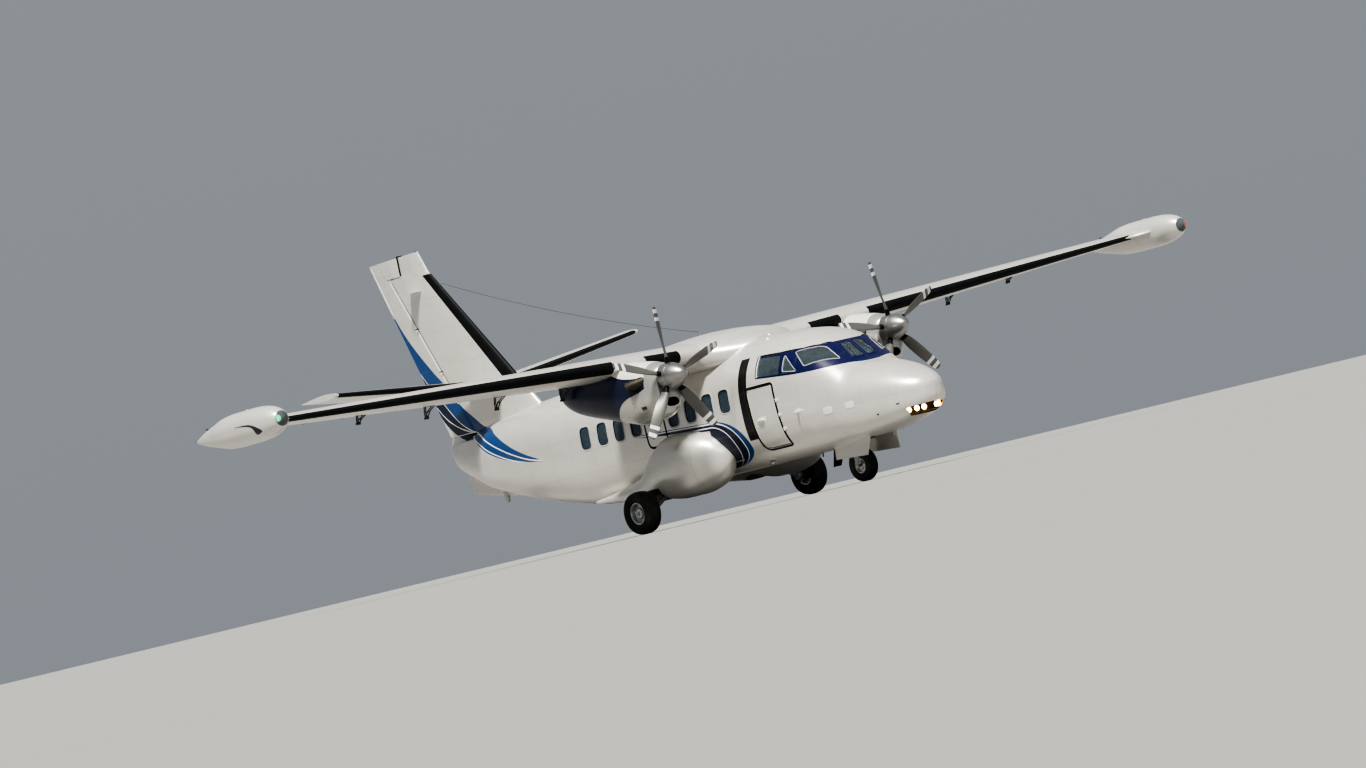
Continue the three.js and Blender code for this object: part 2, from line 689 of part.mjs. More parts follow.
function makeWings() {
  const body = fuselage(3600, 8000, FIT / 2);
  add('wing_fairing', fairing(0).subtract(body), PAINT.white);
  for (const { tag, side } of SIDES) {
    let wing = wholeWing(side);
    for (const span of BRACKETS) wing = wing.add(bracket(span, side));
    wing = wing
      .subtract(fairing(FIT))
      .subtract(fuselage(3600, 8000, FIT))
      .subtract(tank(side, FIT))
      .subtract(controlRoom(WING, FLAP_INNER, FLAP_HINGE, side))
      .subtract(controlRoom(WING, FLAP_OUTER, FLAP_HINGE, side))
      .subtract(controlRoom(WING, AILERON, FLAP_HINGE, side));
    add(`wing_${tag}`, wing, PAINT.white);
    add(`tip_tank_${tag}`, tank(side, 0), PAINT.white);
    add(`flap_inner_${tag}`, control(WING, FLAP_INNER, FLAP_HINGE, side), PAINT.white);
    add(`flap_outer_${tag}`, control(WING, FLAP_OUTER, FLAP_HINGE, side), PAINT.white);
    add(`aileron_${tag}`, control(WING, AILERON, FLAP_HINGE, side), PAINT.white);
  }
}

function makeEngines() {
  for (const { tag, side } of SIDES) {
    const y = side * PROP_Y;
    let cowl = loft(NACELLE.map(([aft, top, bottom, half]) => oval(aft, y, top, bottom, half, UPPER_POWER, 18)));
    for (const out of [1, -1]) {
      const [from, to] = [EXHAUST.from, EXHAUST.to].map((end) => [end.aft, y + out * end.out, end.height]);
      const within = to.map((value, i) => mix(value, from[i], 0.5));
      const beyond = to.map((value, i) => mix(value, from[i], -0.2));
      cowl = cowl.add(rod(from, to, EXHAUST.radius)).subtract(rod(within, beyond, EXHAUST.bore));
    }
    const { front, rear, halfWidth, bottom, top } = NACELLE_BAY;
    const intake = oval(
      NACELLE[0][0] - 40, y, INTAKE.height + INTAKE.halfHeight, INTAKE.height - INTAKE.halfHeight,
      INTAKE.halfWidth, 2.4, 16,
    );
    const intakeEnd = intake.map(([, py, pz]) => [x(NACELLE[0][0] + INTAKE.depth), mix(py, y, 0.3), pz]);
    cowl = cowl
      .subtract(wholeWing(side, FIT))
      .subtract(block(front, rear, y - halfWidth, y + halfWidth, bottom, top))
      .subtract(rod([NACELLE[0][0] - 50, y, PROP_Z], [front + 20, y, PROP_Z], SHAFT_HOLE))
      .subtract(loft([intake, intakeEnd]));
    add(`nacelle_${tag}`, cowl, PAINT.navy);
    const engine = block(
      ENGINE.front, ENGINE.rear, y - ENGINE.halfWidth, y + ENGINE.halfWidth, ENGINE.bottom, ENGINE.top,
    ).add(rod([HUB.rear + 5, y, PROP_Z], [ENGINE.front + 20, y, PROP_Z], SHAFT_RADIUS));
    add(`engine_${tag}`, engine, PAINT.engine);
  }
}

// One blade standing up from the hub, as flat hexagons that follow the pitch
function blade() {
  return loft(BLADE.map(([radius, chord, thick, pitch]) => {
    const turn = THREE.MathUtils.degToRad(pitch);
    const shape = [[-0.5, 0], [-0.2, 0.5], [0.5, 0.1], [0.5, -0.1], [-0.2, -0.4]];
    return shape.map(([c, t]) => {
      const [along, across] = [c * chord, t * thick];
      return [
        -along * Math.sin(turn) + across * Math.cos(turn),
        along * Math.cos(turn) + across * Math.sin(turn),
        radius,
      ];
    });
  }));
}

function makePropellers() {
  for (const { tag, side } of SIDES) {
    let prop = spindle([[HUB.front, 0], [HUB.front, HUB.radius], [HUB.rear, HUB.radius], [HUB.rear, 0]], 0, 0, HUB.sides)
      .translate([-x(PROP_AFT), 0, 0]);
    for (let i = 0; i < BLADES; i++) {
      prop = prop.add(blade().rotate([PROP_TURN[tag] + (360 / BLADES) * i, 0, 0]));
    }
    add(`propeller_${tag}`, prop, PAINT.blade, [x(PROP_AFT), side * PROP_Y, PROP_Z]);
    const cone = [...SPINNER, [HUB.front - TOUCH, HUB.radius], [HUB.front - TOUCH, 0]];
    add(`spinner_${tag}`, spindle(cone, 0, 0, HUB.sides).translate([-x(PROP_AFT), 0, 0]), PAINT.silver,
      [x(PROP_AFT), side * PROP_Y, PROP_Z]);
  }
}

// A slim six-sided section across the fin's top pieces: front, rear and half thickness
function slimRing(front, rear, half, height) {
  return [
    [front, 0], [mix(front, rear, 0.12), half * 0.7], [mix(front, rear, 0.4), half],
    [rear, half * 0.8], [rear, -half * 0.8], [mix(front, rear, 0.4), -half], [mix(front, rear, 0.12), -half * 0.7],
  ].map(([aft, y]) => [x(aft), y, height]);
}

function makeTail() {
  const { bottom, top, rear, leadBottom, leadTop } = FIN_CAP;
  const body = fuselage(9600, 12880, FIT);
  const rudderRoom = { ...RUDDER, from: RUDDER_ROOM_FROM, to: bottom + 60, side: 30 };
  const finPanel = (grow) => loft([FIN.root.span, bottom + 30].map((z) => aerofoil(FIN, z, 1, grow)));
  const finSolid = finPanel(0)
    .subtract(controlRoom(FIN, rudderRoom, RUDDER_HINGE, 1))
    .subtract(panelHollow(FIN, FIN_HOLLOW, 1))
    .add(loft([slimRing(leadBottom, rear, 76, bottom), slimRing(leadTop, rear, 58, top)]))
    .subtract(body);
  add('fin', finSolid, PAINT.white);
  const hornRear = (z) => {
    const [hingeX] = place(FIN, z, (row) => RUDDER_HINGE * row.chord, () => 0, 1);
    return NOSE_X - hingeX + 60;
  };
  const rudder = control(FIN, RUDDER, RUDDER_HINGE, 1)
    .add(loft([
      slimRing(HORN.front, hornRear(HORN.bottom), 62, HORN.bottom),
      slimRing(HORN.front, hornRear(top), 52, top),
    ]));
  add('rudder', rudder, PAINT.white);
  for (const { tag, side } of SIDES) {
    const plane = loft([aerofoil(TAILPLANE, 20, side), aerofoil(TAILPLANE, TAILPLANE.tip.span, side)])
      .subtract(controlRoom(TAILPLANE, { ...ELEVATOR, from: 0 }, ELEVATOR_HINGE, side))
      .subtract(panelHollow(TAILPLANE, TAILPLANE_HOLLOW, side))
      .subtract(finPanel(FIT));
    add(`tailplane_${tag}`, plane, PAINT.white);
    add(`elevator_${tag}`, control(TAILPLANE, ELEVATOR, ELEVATOR_HINGE, side), PAINT.white);
  }
}

function makeSponsons() {
  const body = fuselage(3600, 8800, FIT);
  for (const { tag, side } of SIDES) {
    const y = (value) => side * value;
    const pod = loft(SPONSON.map(([aft, top, bottom, inner, outer]) => oval(
      aft, y((inner + outer) / 2), top, bottom, (outer - inner) / 2, 2.4, 20,
    )));
    const recess = rod([MAIN_AFT, y(WHEEL_RECESS.y), 200],
      [MAIN_AFT, y(WHEEL_RECESS.y), WHEEL_RECESS.roof], WHEEL_RECESS.radius, WHEEL_RECESS.radius, 28);
    const { front, rear, inner, outer, roof } = LEG_SLOT;
    const slot = block(front, rear, y(inner), y(outer), 200, roof);
    add(`sponson_${tag}`, pod.subtract(recess).subtract(slot).subtract(body), PAINT.white);
  }
}

// Main leg points, as aft, distance from the centre, height
const LEG = {
  pivot: [MAIN_AFT, 1230, 600],
  knee: [MAIN_AFT, 1590, MAIN_RADIUS],
  axleEnd: [MAIN_AFT, MAIN_Y + 68, MAIN_RADIUS],
  damperTop: [MAIN_AFT + 75, 1150, 655],
  damperFoot: [MAIN_AFT + 75, 1560, 440],
};

function makeMainGear() {
  for (const { tag, side } of SIDES) {
    const at = ([aft, y, z]) => [aft, side * y, z];
    const { front, rear } = LEG_SLOT;
    const [, pivotY, pivotZ] = LEG.pivot;
    const [, damperY, damperZ] = LEG.damperTop;
    const leg = rod([front + TOUCH, side * pivotY, pivotZ], [rear - TOUCH, side * pivotY, pivotZ], 38)
      .add(rod([front + TOUCH, side * damperY, damperZ], [rear - TOUCH, side * damperY, damperZ], 26))
      .add(rod(at(LEG.pivot), at(LEG.knee), 62, 54))
      .add(rod(at(LEG.damperTop), at(LEG.damperFoot), 34))
      .add(rod(at(LEG.damperFoot), [MAIN_AFT, side * 1560, 420], 30))
      .add(rod(at(LEG.knee), at(LEG.axleEnd), AXLE.main))
      .add(rod([MAIN_AFT, side * 1560, MAIN_RADIUS], [MAIN_AFT, side * 1640, MAIN_RADIUS], 70, 60));
    add(`main_leg_${tag}`, leg, PAINT.gear);
    const hub = [x(MAIN_AFT), side * MAIN_Y, MAIN_RADIUS];
    add(`main_tyre_${tag}`, turned(MAIN_TYRE, WHEEL_SIDES), PAINT.rubber, hub);
    add(`main_rim_${tag}`, turned(MAIN_RIM, WHEEL_SIDES), PAINT.alloy, hub);
  }
}

function makeNoseGear() {
  const { roof, front, rear, halfWidth } = NOSE_BAY;
  const crown = 592;
  const leg = rod([NOSE_LEG_AFT, 0, 655], [NOSE_LEG_AFT, 0, roof - TOUCH], 62)
    .add(rod([NOSE_LEG_AFT, -halfWidth + TOUCH, 760], [NOSE_LEG_AFT, halfWidth - TOUCH, 760], 30))
    .add(rod([NOSE_LEG_AFT, 0, 720], [rear - 60, 0, 800], 26));
  add('nose_leg', leg, PAINT.gear);
  const fork = rod([NOSE_LEG_AFT, 0, crown], [NOSE_LEG_AFT, 0, 648], 48)
    .add(block(NOSE_LEG_AFT - 60, NOSE_LEG_AFT + 75, -150, 150, 566, crown + 20))
    .add(rod([NOSE_WHEEL_AFT, -148, NOSE_RADIUS], [NOSE_WHEEL_AFT, 148, NOSE_RADIUS], AXLE.nose));
  let whole = fork;
  for (const side of [1, -1]) {
    whole = whole.add(loft([118, 148].map((y) => [
      [NOSE_LEG_AFT - 50, 580], [NOSE_LEG_AFT + 65, 580],
      [NOSE_WHEEL_AFT + 38, NOSE_RADIUS - 30], [NOSE_WHEEL_AFT - 38, NOSE_RADIUS - 30],
    ].map(([aft, z]) => [x(aft), side * y, z]))));
  }
  add('nose_fork', whole, PAINT.gear);
  const hub = [x(NOSE_WHEEL_AFT), 0, NOSE_RADIUS];
  add('nose_tyre', turned(NOSE_TYRE, WHEEL_SIDES), PAINT.rubber, hub);
  add('nose_rim', turned(NOSE_RIM, WHEEL_SIDES), PAINT.alloy, hub);
  for (const { tag, side } of SIDES) {
    const [top, foot] = [700, 405];
    const panel = loft([0, 12].map((thick) => [
      [front + 30, top], [rear - 30, top], [rear - 60, foot + 40], [front + 120, foot],
    ].map(([aft, z]) => {
      const lean = (top - z) * 0.22;
      return [x(aft), side * (halfWidth - 14 + thick + lean), z];
    })));
    const trimmed = panel.subtract(fuselage(1000, 3000, FIT)).add(
      block(front + 120, NOSE_LEG_AFT - 80, side * (halfWidth - 16), side * (halfWidth - TOUCH), 600, 760),
    );
    add(`nose_door_${tag}`, trimmed, PAINT.white);
  }
}

makeNose();
makeFlightDeck();
makeFlightDeckFittings();
makeCabin();
makeTailCone();
makeWings();
makeEngines();
makePropellers();
makeTail();
makeSponsons();
makeMainGear();
makeNoseGear();

export default group;
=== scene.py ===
import math

import bmesh
import bpy
import numpy as np
from mathutils import Matrix, Vector
from mathutils.bvhtree import BVHTree
from mathutils.interpolate import poly_3d_calc


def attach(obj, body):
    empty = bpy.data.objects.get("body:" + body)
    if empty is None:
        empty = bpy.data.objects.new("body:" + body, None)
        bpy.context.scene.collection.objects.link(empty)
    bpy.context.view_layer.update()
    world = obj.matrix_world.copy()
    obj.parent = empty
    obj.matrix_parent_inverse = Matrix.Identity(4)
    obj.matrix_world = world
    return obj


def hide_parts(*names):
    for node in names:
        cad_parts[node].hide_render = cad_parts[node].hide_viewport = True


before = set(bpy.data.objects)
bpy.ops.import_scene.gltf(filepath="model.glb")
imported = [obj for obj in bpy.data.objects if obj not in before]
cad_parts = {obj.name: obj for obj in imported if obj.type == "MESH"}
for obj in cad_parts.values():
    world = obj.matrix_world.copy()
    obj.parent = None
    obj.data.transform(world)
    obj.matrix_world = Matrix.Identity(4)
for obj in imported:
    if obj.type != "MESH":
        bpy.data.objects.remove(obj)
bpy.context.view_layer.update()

scene = bpy.context.scene

# The camera comes first. It stands on the floor and is tilted the way the photo is.
camera = {
    "place": (74.943, -58.018, 0.1),
    "turn": (91.385, 13.589, 52.246),
    "lens": 147.25,
    "sensor": 36,
    "clip": (1.0, 1600.0),
}
lens = bpy.data.cameras.new("camera")
lens.lens = camera["lens"]
lens.sensor_width = camera["sensor"]
lens.clip_start, lens.clip_end = camera["clip"]
eye = bpy.data.objects.new("camera", lens)
eye.location = camera["place"]
eye.rotation_euler = [math.radians(angle) for angle in camera["turn"]]
scene.collection.objects.link(eye)
scene.camera = eye
print("camera placed")

# Stations run in metres behind the nose tip, and the frame's x runs forward
noseX = 7.212
sides = {"port": 1, "starboard": -1}


def spot(aft, y, z):
    return Vector((noseX - aft, y, z))


# Rows of aft, y and z as places, mirrored for the starboard side
def spots(rows, side=1):
    return [spot(a, side * y, z) for a, y, z in rows]


# A place given as it is, or as aft, y and z
def placeOf(p):
    return p if isinstance(p, Vector) else spot(*p)


def mix(a, b, t):
    return a + (b - a) * t


def evenly(first, last, count):
    return [mix(first, last, i / count) for i in range(count + 1)]


def turnsOf(count):
    return [2 * math.pi * i / count for i in range(count)]


# A table's values at any key, on a curve that doesn't overshoot between its rows
def smoothTable(rows):
    rows = np.array(rows, float)
    keys, values = rows[:, 0], rows[:, 1:]
    step = np.diff(keys)[:, None]
    rate = np.diff(values, axis=0) / step
    slopes = np.zeros_like(values)
    slopes[0], slopes[-1] = rate[0], rate[-1]
    same = rate[:-1] * rate[1:] > 0
    near = np.where(same, rate[:-1], 1)
    far = np.where(same, rate[1:], 1)
    nearShare = 2 * step[1:] + step[:-1]
    farShare = step[1:] + 2 * step[:-1]
    slopes[1:-1] = np.where(same, (nearShare + farShare) / (nearShare / near + farShare / far), 0)

    def valueAt(key):
        key = min(max(key, keys[0]), keys[-1])
        i = min(max(int(np.searchsorted(keys, key)) - 1, 0), len(keys) - 2)
        h = keys[i + 1] - keys[i]
        t = (key - keys[i]) / h
        ends = (1 + 2 * t) * (1 - t) ** 2 * values[i] + t * t * (3 - 2 * t) * values[i + 1]
        return ends + h * (t * (1 - t) ** 2 * slopes[i] + t * t * (t - 1) * slopes[i + 1])

    return valueAt


# The same with keys that crowd near the first station, where a nose is blunt
def bluntTable(rows, start):
    return smoothTable([(math.sqrt(a - start), *rest) for a, *rest in rows])


# Mesh forms: points, faces and the number of the material on each face, or one number for all
def form(points, faces, mark=0):
    marks = mark if isinstance(mark, list) else [mark] * len(faces)
    return {"points": [Vector(p) for p in points], "faces": faces, "marks": marks}


# Rings joined one after the other, capped at both ends or closed like a tyre
def loft(rings, mark=0, closed=False):
    count, loops = len(rings[0]), len(rings)
    faces = []
    for a in range(loops if closed else loops - 1):
        b = (a + 1) % loops
        for i in range(count):
            k = (i + 1) % count
            faces.append((a * count + i, a * count + k, b * count + k, b * count + i))
    if not closed:
        faces += [tuple(reversed(range(count))), tuple(range((loops - 1) * count, loops * count))]
    return form([p for ring in rings for p in ring], faces, mark)


# Two square grids of points joined round their rim, as a thin sheet
def sheet(layers, count):
    size = count + 1
    layer = size * size
    faces = []
    for shift in (0, layer):
        for i in range(count):
            for k in range(count):
                p = shift + i * size + k
                faces.append((p, p + 1, p + size + 1, p + size))
    rim = [i * size for i in range(size)] + [count * size + k for k in range(1, size)]
    rim += [i * size + count for i in reversed(range(count))] + list(reversed(range(1, count)))
    for p, q in zip(rim, rim[1:] + rim[:1]):
        faces.append((p, q, q + layer, p + layer))
    return form([p for points in layers for p in points], faces)


# A ring drawn in about its middle and shifted, for a rounded end
def shrunk(ring, share, shift, middle=None):
    middle = middle or sum(ring, Vector()) / len(ring)
    return [middle + (p - middle) * share + shift for p in ring]


# Turned about an axis: rows are distance along the axis and radius
def turned(profile, centre, axis, count=48, mark=0, closed=False):
    centre, axis = placeOf(centre), Vector(axis).normalized()
    side = axis.orthogonal().normalized()
    other = axis.cross(side)
    rings = []
    for along, radius in profile:
        radius = max(radius, 0.0004)
        middle = centre + axis * along
        rings.append([middle + (side * math.cos(t) + other * math.sin(t)) * radius for t in turnsOf(count)])
    return loft(rings, mark, closed)


# A round bar through places, with one radius for each of them or one for all
def bar(path, radius, count=20, squash=1.0):
    path = [placeOf(p) for p in path]
    radii = radius if isinstance(radius, (list, tuple)) else [radius] * len(path)
    tangents = [(path[min(i + 1, len(path) - 1)] - path[max(i - 1, 0)]).normalized()
                for i in range(len(path))]
    across = tangents[0].orthogonal().normalized()
    rings = []
    for point, tangent, r in zip(path, tangents, radii):
        across = (across - tangent * across.dot(tangent)).normalized()
        other = tangent.cross(across)
        rings.append([point + across * (r * math.cos(t)) + other * (r * squash * math.sin(t))
                      for t in turnsOf(count)])
    return loft(rings)


# A bar with softened ends, so its rims catch the light
def pin(start, end, radius, count=20):
    soft = 0.15
    start, end = placeOf(start), placeOf(end)
    way = (end - start).normalized() * radius * soft
    path = [start, start + way * 0.3, start + way, end - way, end - way * 0.3, end]
    return bar(path, [radius * k for k in (1 - soft, 1 - soft * 0.3, 1, 1, 1 - soft * 0.3, 1 - soft)], count)


# A box between two corners with its edges cut back
def softBox(first, second, soft=0.01, mark=0):
    low, high = [Vector(pick(p) for p in zip(placeOf(first), placeOf(second))) for pick in (min, max)]
    rings = []
    for x, inset in ((low.x, soft), (low.x + soft, 0), (high.x - soft, 0), (high.x, soft)):
        y0, y1 = low.y + inset, high.y - inset
        z0, z1 = low.z + inset, high.z - inset
        rings.append([Vector((x, y, z)) for y, z in (
            (y0 + soft, z0), (y1 - soft, z0), (y1, z0 + soft), (y1, z1 - soft),
            (y1 - soft, z1), (y0 + soft, z1), (y0, z1 - soft), (y0, z0 + soft))])
    return loft(rings, mark)


def rawMesh(name, forms):
    points, faces, marks = [], [], []
    for shape in forms:
        shift = len(points)
        points += shape["points"]
        faces += [tuple(i + shift for i in face) for face in shape["faces"]]
        marks += shape["marks"]
    mesh = bpy.data.meshes.new(name)
    mesh.from_pydata(points, [], faces)
    mesh.polygons.foreach_set("material_index", marks)
    work = bmesh.new()
    work.from_mesh(mesh)
    bmesh.ops.recalc_face_normals(work, faces=work.faces)
    work.to_mesh(mesh)
    work.free()
    return mesh


def rawObject(name, forms, finishes=()):
    mesh = rawMesh(name, forms)
    for finish in finishes:
        mesh.materials.append(finish)
    obj = bpy.data.objects.new(name, mesh)
    scene.collection.objects.link(obj)
    return obj


# Puts a finished object on its body and hides the model parts that it stands for
def settle(obj, body="airframe", stands=()):
    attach(obj, body)
    if stands:
        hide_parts(*stands)
    return obj


def newPiece(name, forms, finishes, body="airframe", stands=(), sharp=35):
    finishes = finishes if isinstance(finishes, (list, tuple)) else [finishes]
    obj = rawObject(name, forms, finishes)
    obj.data.shade_smooth()
    obj.data.set_sharp_from_angle(angle=math.radians(sharp))
    return settle(obj, body, stands)


# Cuts forms out of an object, or keeps only what lies inside them
def carve(obj, forms, keep=False):
    tool = rawObject("tool", forms)
    cut = obj.modifiers.new("cut", "BOOLEAN")
    cut.operation = "INTERSECT" if keep else "DIFFERENCE"
    cut.solver = "MANIFOLD"
    cut.object = tool
    old = obj.data
    before = len(old.polygons)
    mesh = bpy.data.meshes.new_from_object(obj.evaluated_get(bpy.context.evaluated_depsgraph_get()))
    obj.modifiers.clear()
    obj.data = mesh
    mesh.name = old.name
    bpy.data.meshes.remove(old)
    bpy.data.objects.remove(tool)
    if len(mesh.polygons) in (0, before):
        print("a cut left", obj.name, "as it was")


# A form's faces and normals, to lay trim on it and to shade what is cut from it
def guideOf(shape):
    mesh = rawMesh("guide", [shape])
    normals = [v.normal.copy() for v in mesh.vertices]
    corners = [list(p.vertices) for p in mesh.polygons]
    points = [v.co.copy() for v in mesh.vertices]
    tree = BVHTree.FromPolygons(points, corners)
    bpy.data.meshes.remove(mesh)
    return {"tree": tree, "points": points, "normals": normals, "faces": corners}


def nearestOn(guide, place):
    return guide["tree"].find_nearest(place)[0]


def guideNormal(guide, place, reach=0.02):
    near, _, index, gap = guide["tree"].find_nearest(place)
    if near is None or gap > reach:
        return None
    face = guide["faces"][index]
    weights = poly_3d_calc([guide["points"][i] for i in face], near)
    return sum((guide["normals"][i] * w for i, w in zip(face, weights)), Vector()).normalized()


# Shading from the uncut skin where a face still lies along it, and flat on the cut sides
def smoothFrom(obj, guide, reach=0.004, agree=0.85):
    mesh = obj.data
    mesh.shade_smooth()
    normals = [None] * len(mesh.loops)
    for face in mesh.polygons:
        for i in face.loop_indices:
            found = guideNormal(guide, mesh.vertices[mesh.loops[i].vertex_index].co, reach)
            along = found.dot(face.normal) if found else 0.0
            normals[i] = found * math.copysign(1, along) if abs(along) > agree else face.normal
    mesh.normals_split_custom_set(normals)


# A skin with forms cut out of it in turn
def cutSkin(name, shape, finishes, cuts, stands=(), body="airframe"):
    obj = rawObject(name, [shape], finishes)
    for forms in cuts:
        carve(obj, forms)
    smoothFrom(obj, guideOf(shape))
    settle(obj, body, stands)


def spaced(path, step, closed=False):
    path = [Vector(p) for p in path]
    if closed:
        path = path + [path[0]]
    lengths = [0.0]
    for a, b in zip(path, path[1:]):
        lengths.append(lengths[-1] + (b - a).length)
    count = max(2, round(lengths[-1] / step))
    result, k = [], 0
    for i in range(count if closed else count + 1):
        want = lengths[-1] * i / count
        while k < len(path) - 2 and lengths[k + 1] < want:
            k += 1
        span = max(lengths[k + 1] - lengths[k], 1e-9)
        result.append(path[k].lerp(path[k + 1], (want - lengths[k]) / span))
    return result


# Corners rounded off, as a closed path
def rounded(corners, radius, steps=6):
    corners = [Vector(c) for c in corners]
    radii = radius if isinstance(radius, (list, tuple)) else [radius] * len(corners)
    path = []
    for i, (corner, r) in enumerate(zip(corners, radii)):
        before, after = corners[i - 1] - corner, corners[(i + 1) % len(corners)] - corner
        r = min(r, before.length * 0.49, after.length * 0.49)
        a, b = corner + before.normalized() * r, corner + after.normalized() * r
        for t in evenly(0, 1, steps):
            path.append(a * (1 - t) ** 2 + corner * (2 * t * (1 - t) * 0.9) + b * t ** 2
                        + (a + b) * (0.1 * t * (1 - t)))
    return path


# A flat-backed strip laid on a skin along a path
def ribbon(guide, path, width, height=0.003, closed=True, sink=0.003):
    path = spaced(path, 0.03, closed)
    count = len(path)
    profile = [(-0.5, -sink), (-0.5, height * 0.5), (-0.36, height), (0.36, height), (0.5, height * 0.5),
               (0.5, -sink)]
    rings = []
    for i, place in enumerate(path):
        near, normal, _, _ = guide["tree"].find_nearest(place)
        normal = guideNormal(guide, near) or normal
        ahead = path[(i + 1) % count] if closed else path[min(i + 1, count - 1)]
        behind = path[i - 1] if closed else path[max(i - 1, 0)]
        across = normal.cross(ahead - behind).normalized()
        rings.append([nearestOn(guide, near + across * (u * width)) + normal * rise for u, rise in profile])
    return loft(rings, 0, closed)


# A pane or plate that follows a skin between four corners, set in by a depth
def skinPlate(guide, corners, depth, thick, count=10):
    a, b, c, d = corners
    layers = [[], []]
    for u in evenly(0, 1, count):
        for v in evenly(0, 1, count):
            near = nearestOn(guide, a.lerp(b, u).lerp(d.lerp(c, u), v))
            normal = guideNormal(guide, near)
            for layer, below in zip(layers, (depth, depth + thick)):
                layer.append(near - normal * below)
    return sheet(layers, count)


# An opening's cutter, from an outline pushed out both ways
def prism(outline, way, inside, outside):
    way = Vector(way).normalized()
    return loft([[p - way * inside for p in outline], [p + way * outside for p in outline]], 1)


# Materials. Each group puts out only colours, values and normals that change over the surface.
class Nodes:
    def __init__(self, tree):
        self.tree = tree

    def add(self, kind, **settings):
        node = self.tree.nodes.new("ShaderNode" + kind)
        for key, value in settings.items():
            setattr(node, key, value)
        return node

    def feed(self, socket, value):
        if isinstance(value, bpy.types.NodeSocket):
            self.tree.links.new(value, socket)
        else:
            socket.default_value = value

    def fed(self, kind, values, **settings):
        node = self.add(kind, **settings)
        for key, value in values.items():
            self.feed(node.inputs[key], value)
        return node.outputs

    def place(self, tree, values):
        return self.fed("Group", values, node_tree=tree)

    def math(self, operation, first, *rest, clamp=False):
        if not rest:
            return self.fed("Math", {0: first}, operation=operation)[0]
        for value in rest:
            first = self.fed("Math", {0: first, 1: value}, operation=operation, use_clamp=clamp)[0]
        return first

    def plus(self, *values):
        return self.math("ADD", *values)

    def minus(self, a, b):
        return self.math("SUBTRACT", a, b)

    def times(self, *values):
        return self.math("MULTIPLY", *values)

    def most(self, *values):
        return self.math("MAXIMUM", *values)

    def above(self, value, edge):
        return self.math("GREATER_THAN", value, edge)

    def near(self, value, edge, half):
        return self.math("LESS_THAN", self.math("ABSOLUTE", self.minus(value, edge)), half)

    def blend(self, share, first, second):
        return self.fed("Mix", {0: share, 6: first, 7: second}, data_type="RGBA")[2]

    def noise(self, where, scale, detail=3.0, rough=0.5):
        return self.fed("TexNoise",
                        {"Vector": where, "Scale": scale, "Detail": detail, "Roughness": rough})["Fac"]

    def where(self):
        return self.add("TexCoord").outputs["Object"]

    def split(self, vector):
        return self.fed("SeparateXYZ", {0: vector})

    def ramp(self, value, low, high, start=0.0, end=1.0):
        return self.fed("MapRange", {
            "Value": value, "From Min": low, "From Max": high, "To Min": start, "To Max": end})[0]

    def bump(self, height, strength, distance, **more):
        return self.fed("Bump",
                        {"Height": height, "Strength": strength, "Distance": distance, **more})["Normal"]

    # Height of a paint edge at the shaded point's station, from rows of aft and height
    def edge(self, aft, table):
        (first, last), (low, high) = [(min(v), max(v)) for v in zip(*table)]
        curve = self.add("FloatCurve")
        points = curve.mapping.curves[0].points
        rows = [((a - first) / (last - first), (z - low) / (high - low)) for a, z in table]
        points[0].location, points[1].location = rows[0], rows[-1]
        for row in rows[1:-1]:
            points.new(*row)
        curve.mapping.update()
        self.feed(curve.inputs["Value"], self.ramp(aft, first, last))
        return self.ramp(curve.outputs[0], 0.0, 1.0, low, high)


def group(name, inputs, outputs):
    tree = bpy.data.node_groups.new(name, "ShaderNodeTree")
    for label, value in inputs.items():
        kind = "NodeSocketColor" if isinstance(value, tuple) else "NodeSocketFloat"
        tree.interface.new_socket(name=label, in_out="INPUT", socket_type=kind).default_value = value
    for label, kind in outputs.items():
        tree.interface.new_socket(name=label, in_out="OUTPUT", socket_type="NodeSocket" + kind)
    return tree, Nodes(tree), tree.nodes.new("NodeGroupInput").outputs, tree.nodes.new("NodeGroupOutput").inputs


# Soft dirt, streaks along the air flow and a fine grain over any base colour
wear, n, given, out = group("wear", {
    "Color": (0.8, 0.8, 0.8, 1), "Dirt": (0.3, 0.27, 0.22, 1), "Dirt Amount": 0.2, "Scale": 3.0,
    "Streak": 1.0,
    "Roughness": 0.4, "Roughness Spread": 0.1, "Grain Scale": 200.0, "Grain Depth": 0.0002,
}, {"Color": "Color", "Roughness": "Float", "Normal": "Vector"})
squeeze = n.fed("CombineXYZ", {0: given["Streak"], 1: 1, 2: 1})[0]
stretch = n.fed("Mapping", {"Vector": n.where(), "Scale": squeeze})[0]
broad = n.noise(stretch, given["Scale"], 5.0, 0.6)
fine = n.noise(stretch, n.times(given["Scale"], 7.0), 4.0, 0.6)
cloud = n.plus(n.times(broad, 0.65), n.times(fine, 0.35))
mask = n.math("MULTIPLY", n.ramp(cloud, 0.42, 0.72), given["Dirt Amount"], clamp=True)
n.feed(out["Color"], n.blend(mask, given["Color"], given["Dirt"]))
uneven = n.times(n.minus(cloud, 0.5), given["Roughness Spread"])
n.feed(out["Roughness"], n.math("ADD", given["Roughness"], uneven, clamp=True))
n.feed(out["Normal"], n.bump(n.noise(n.where(), given["Grain Scale"], 2.0), 1.0, given["Grain Depth"]))

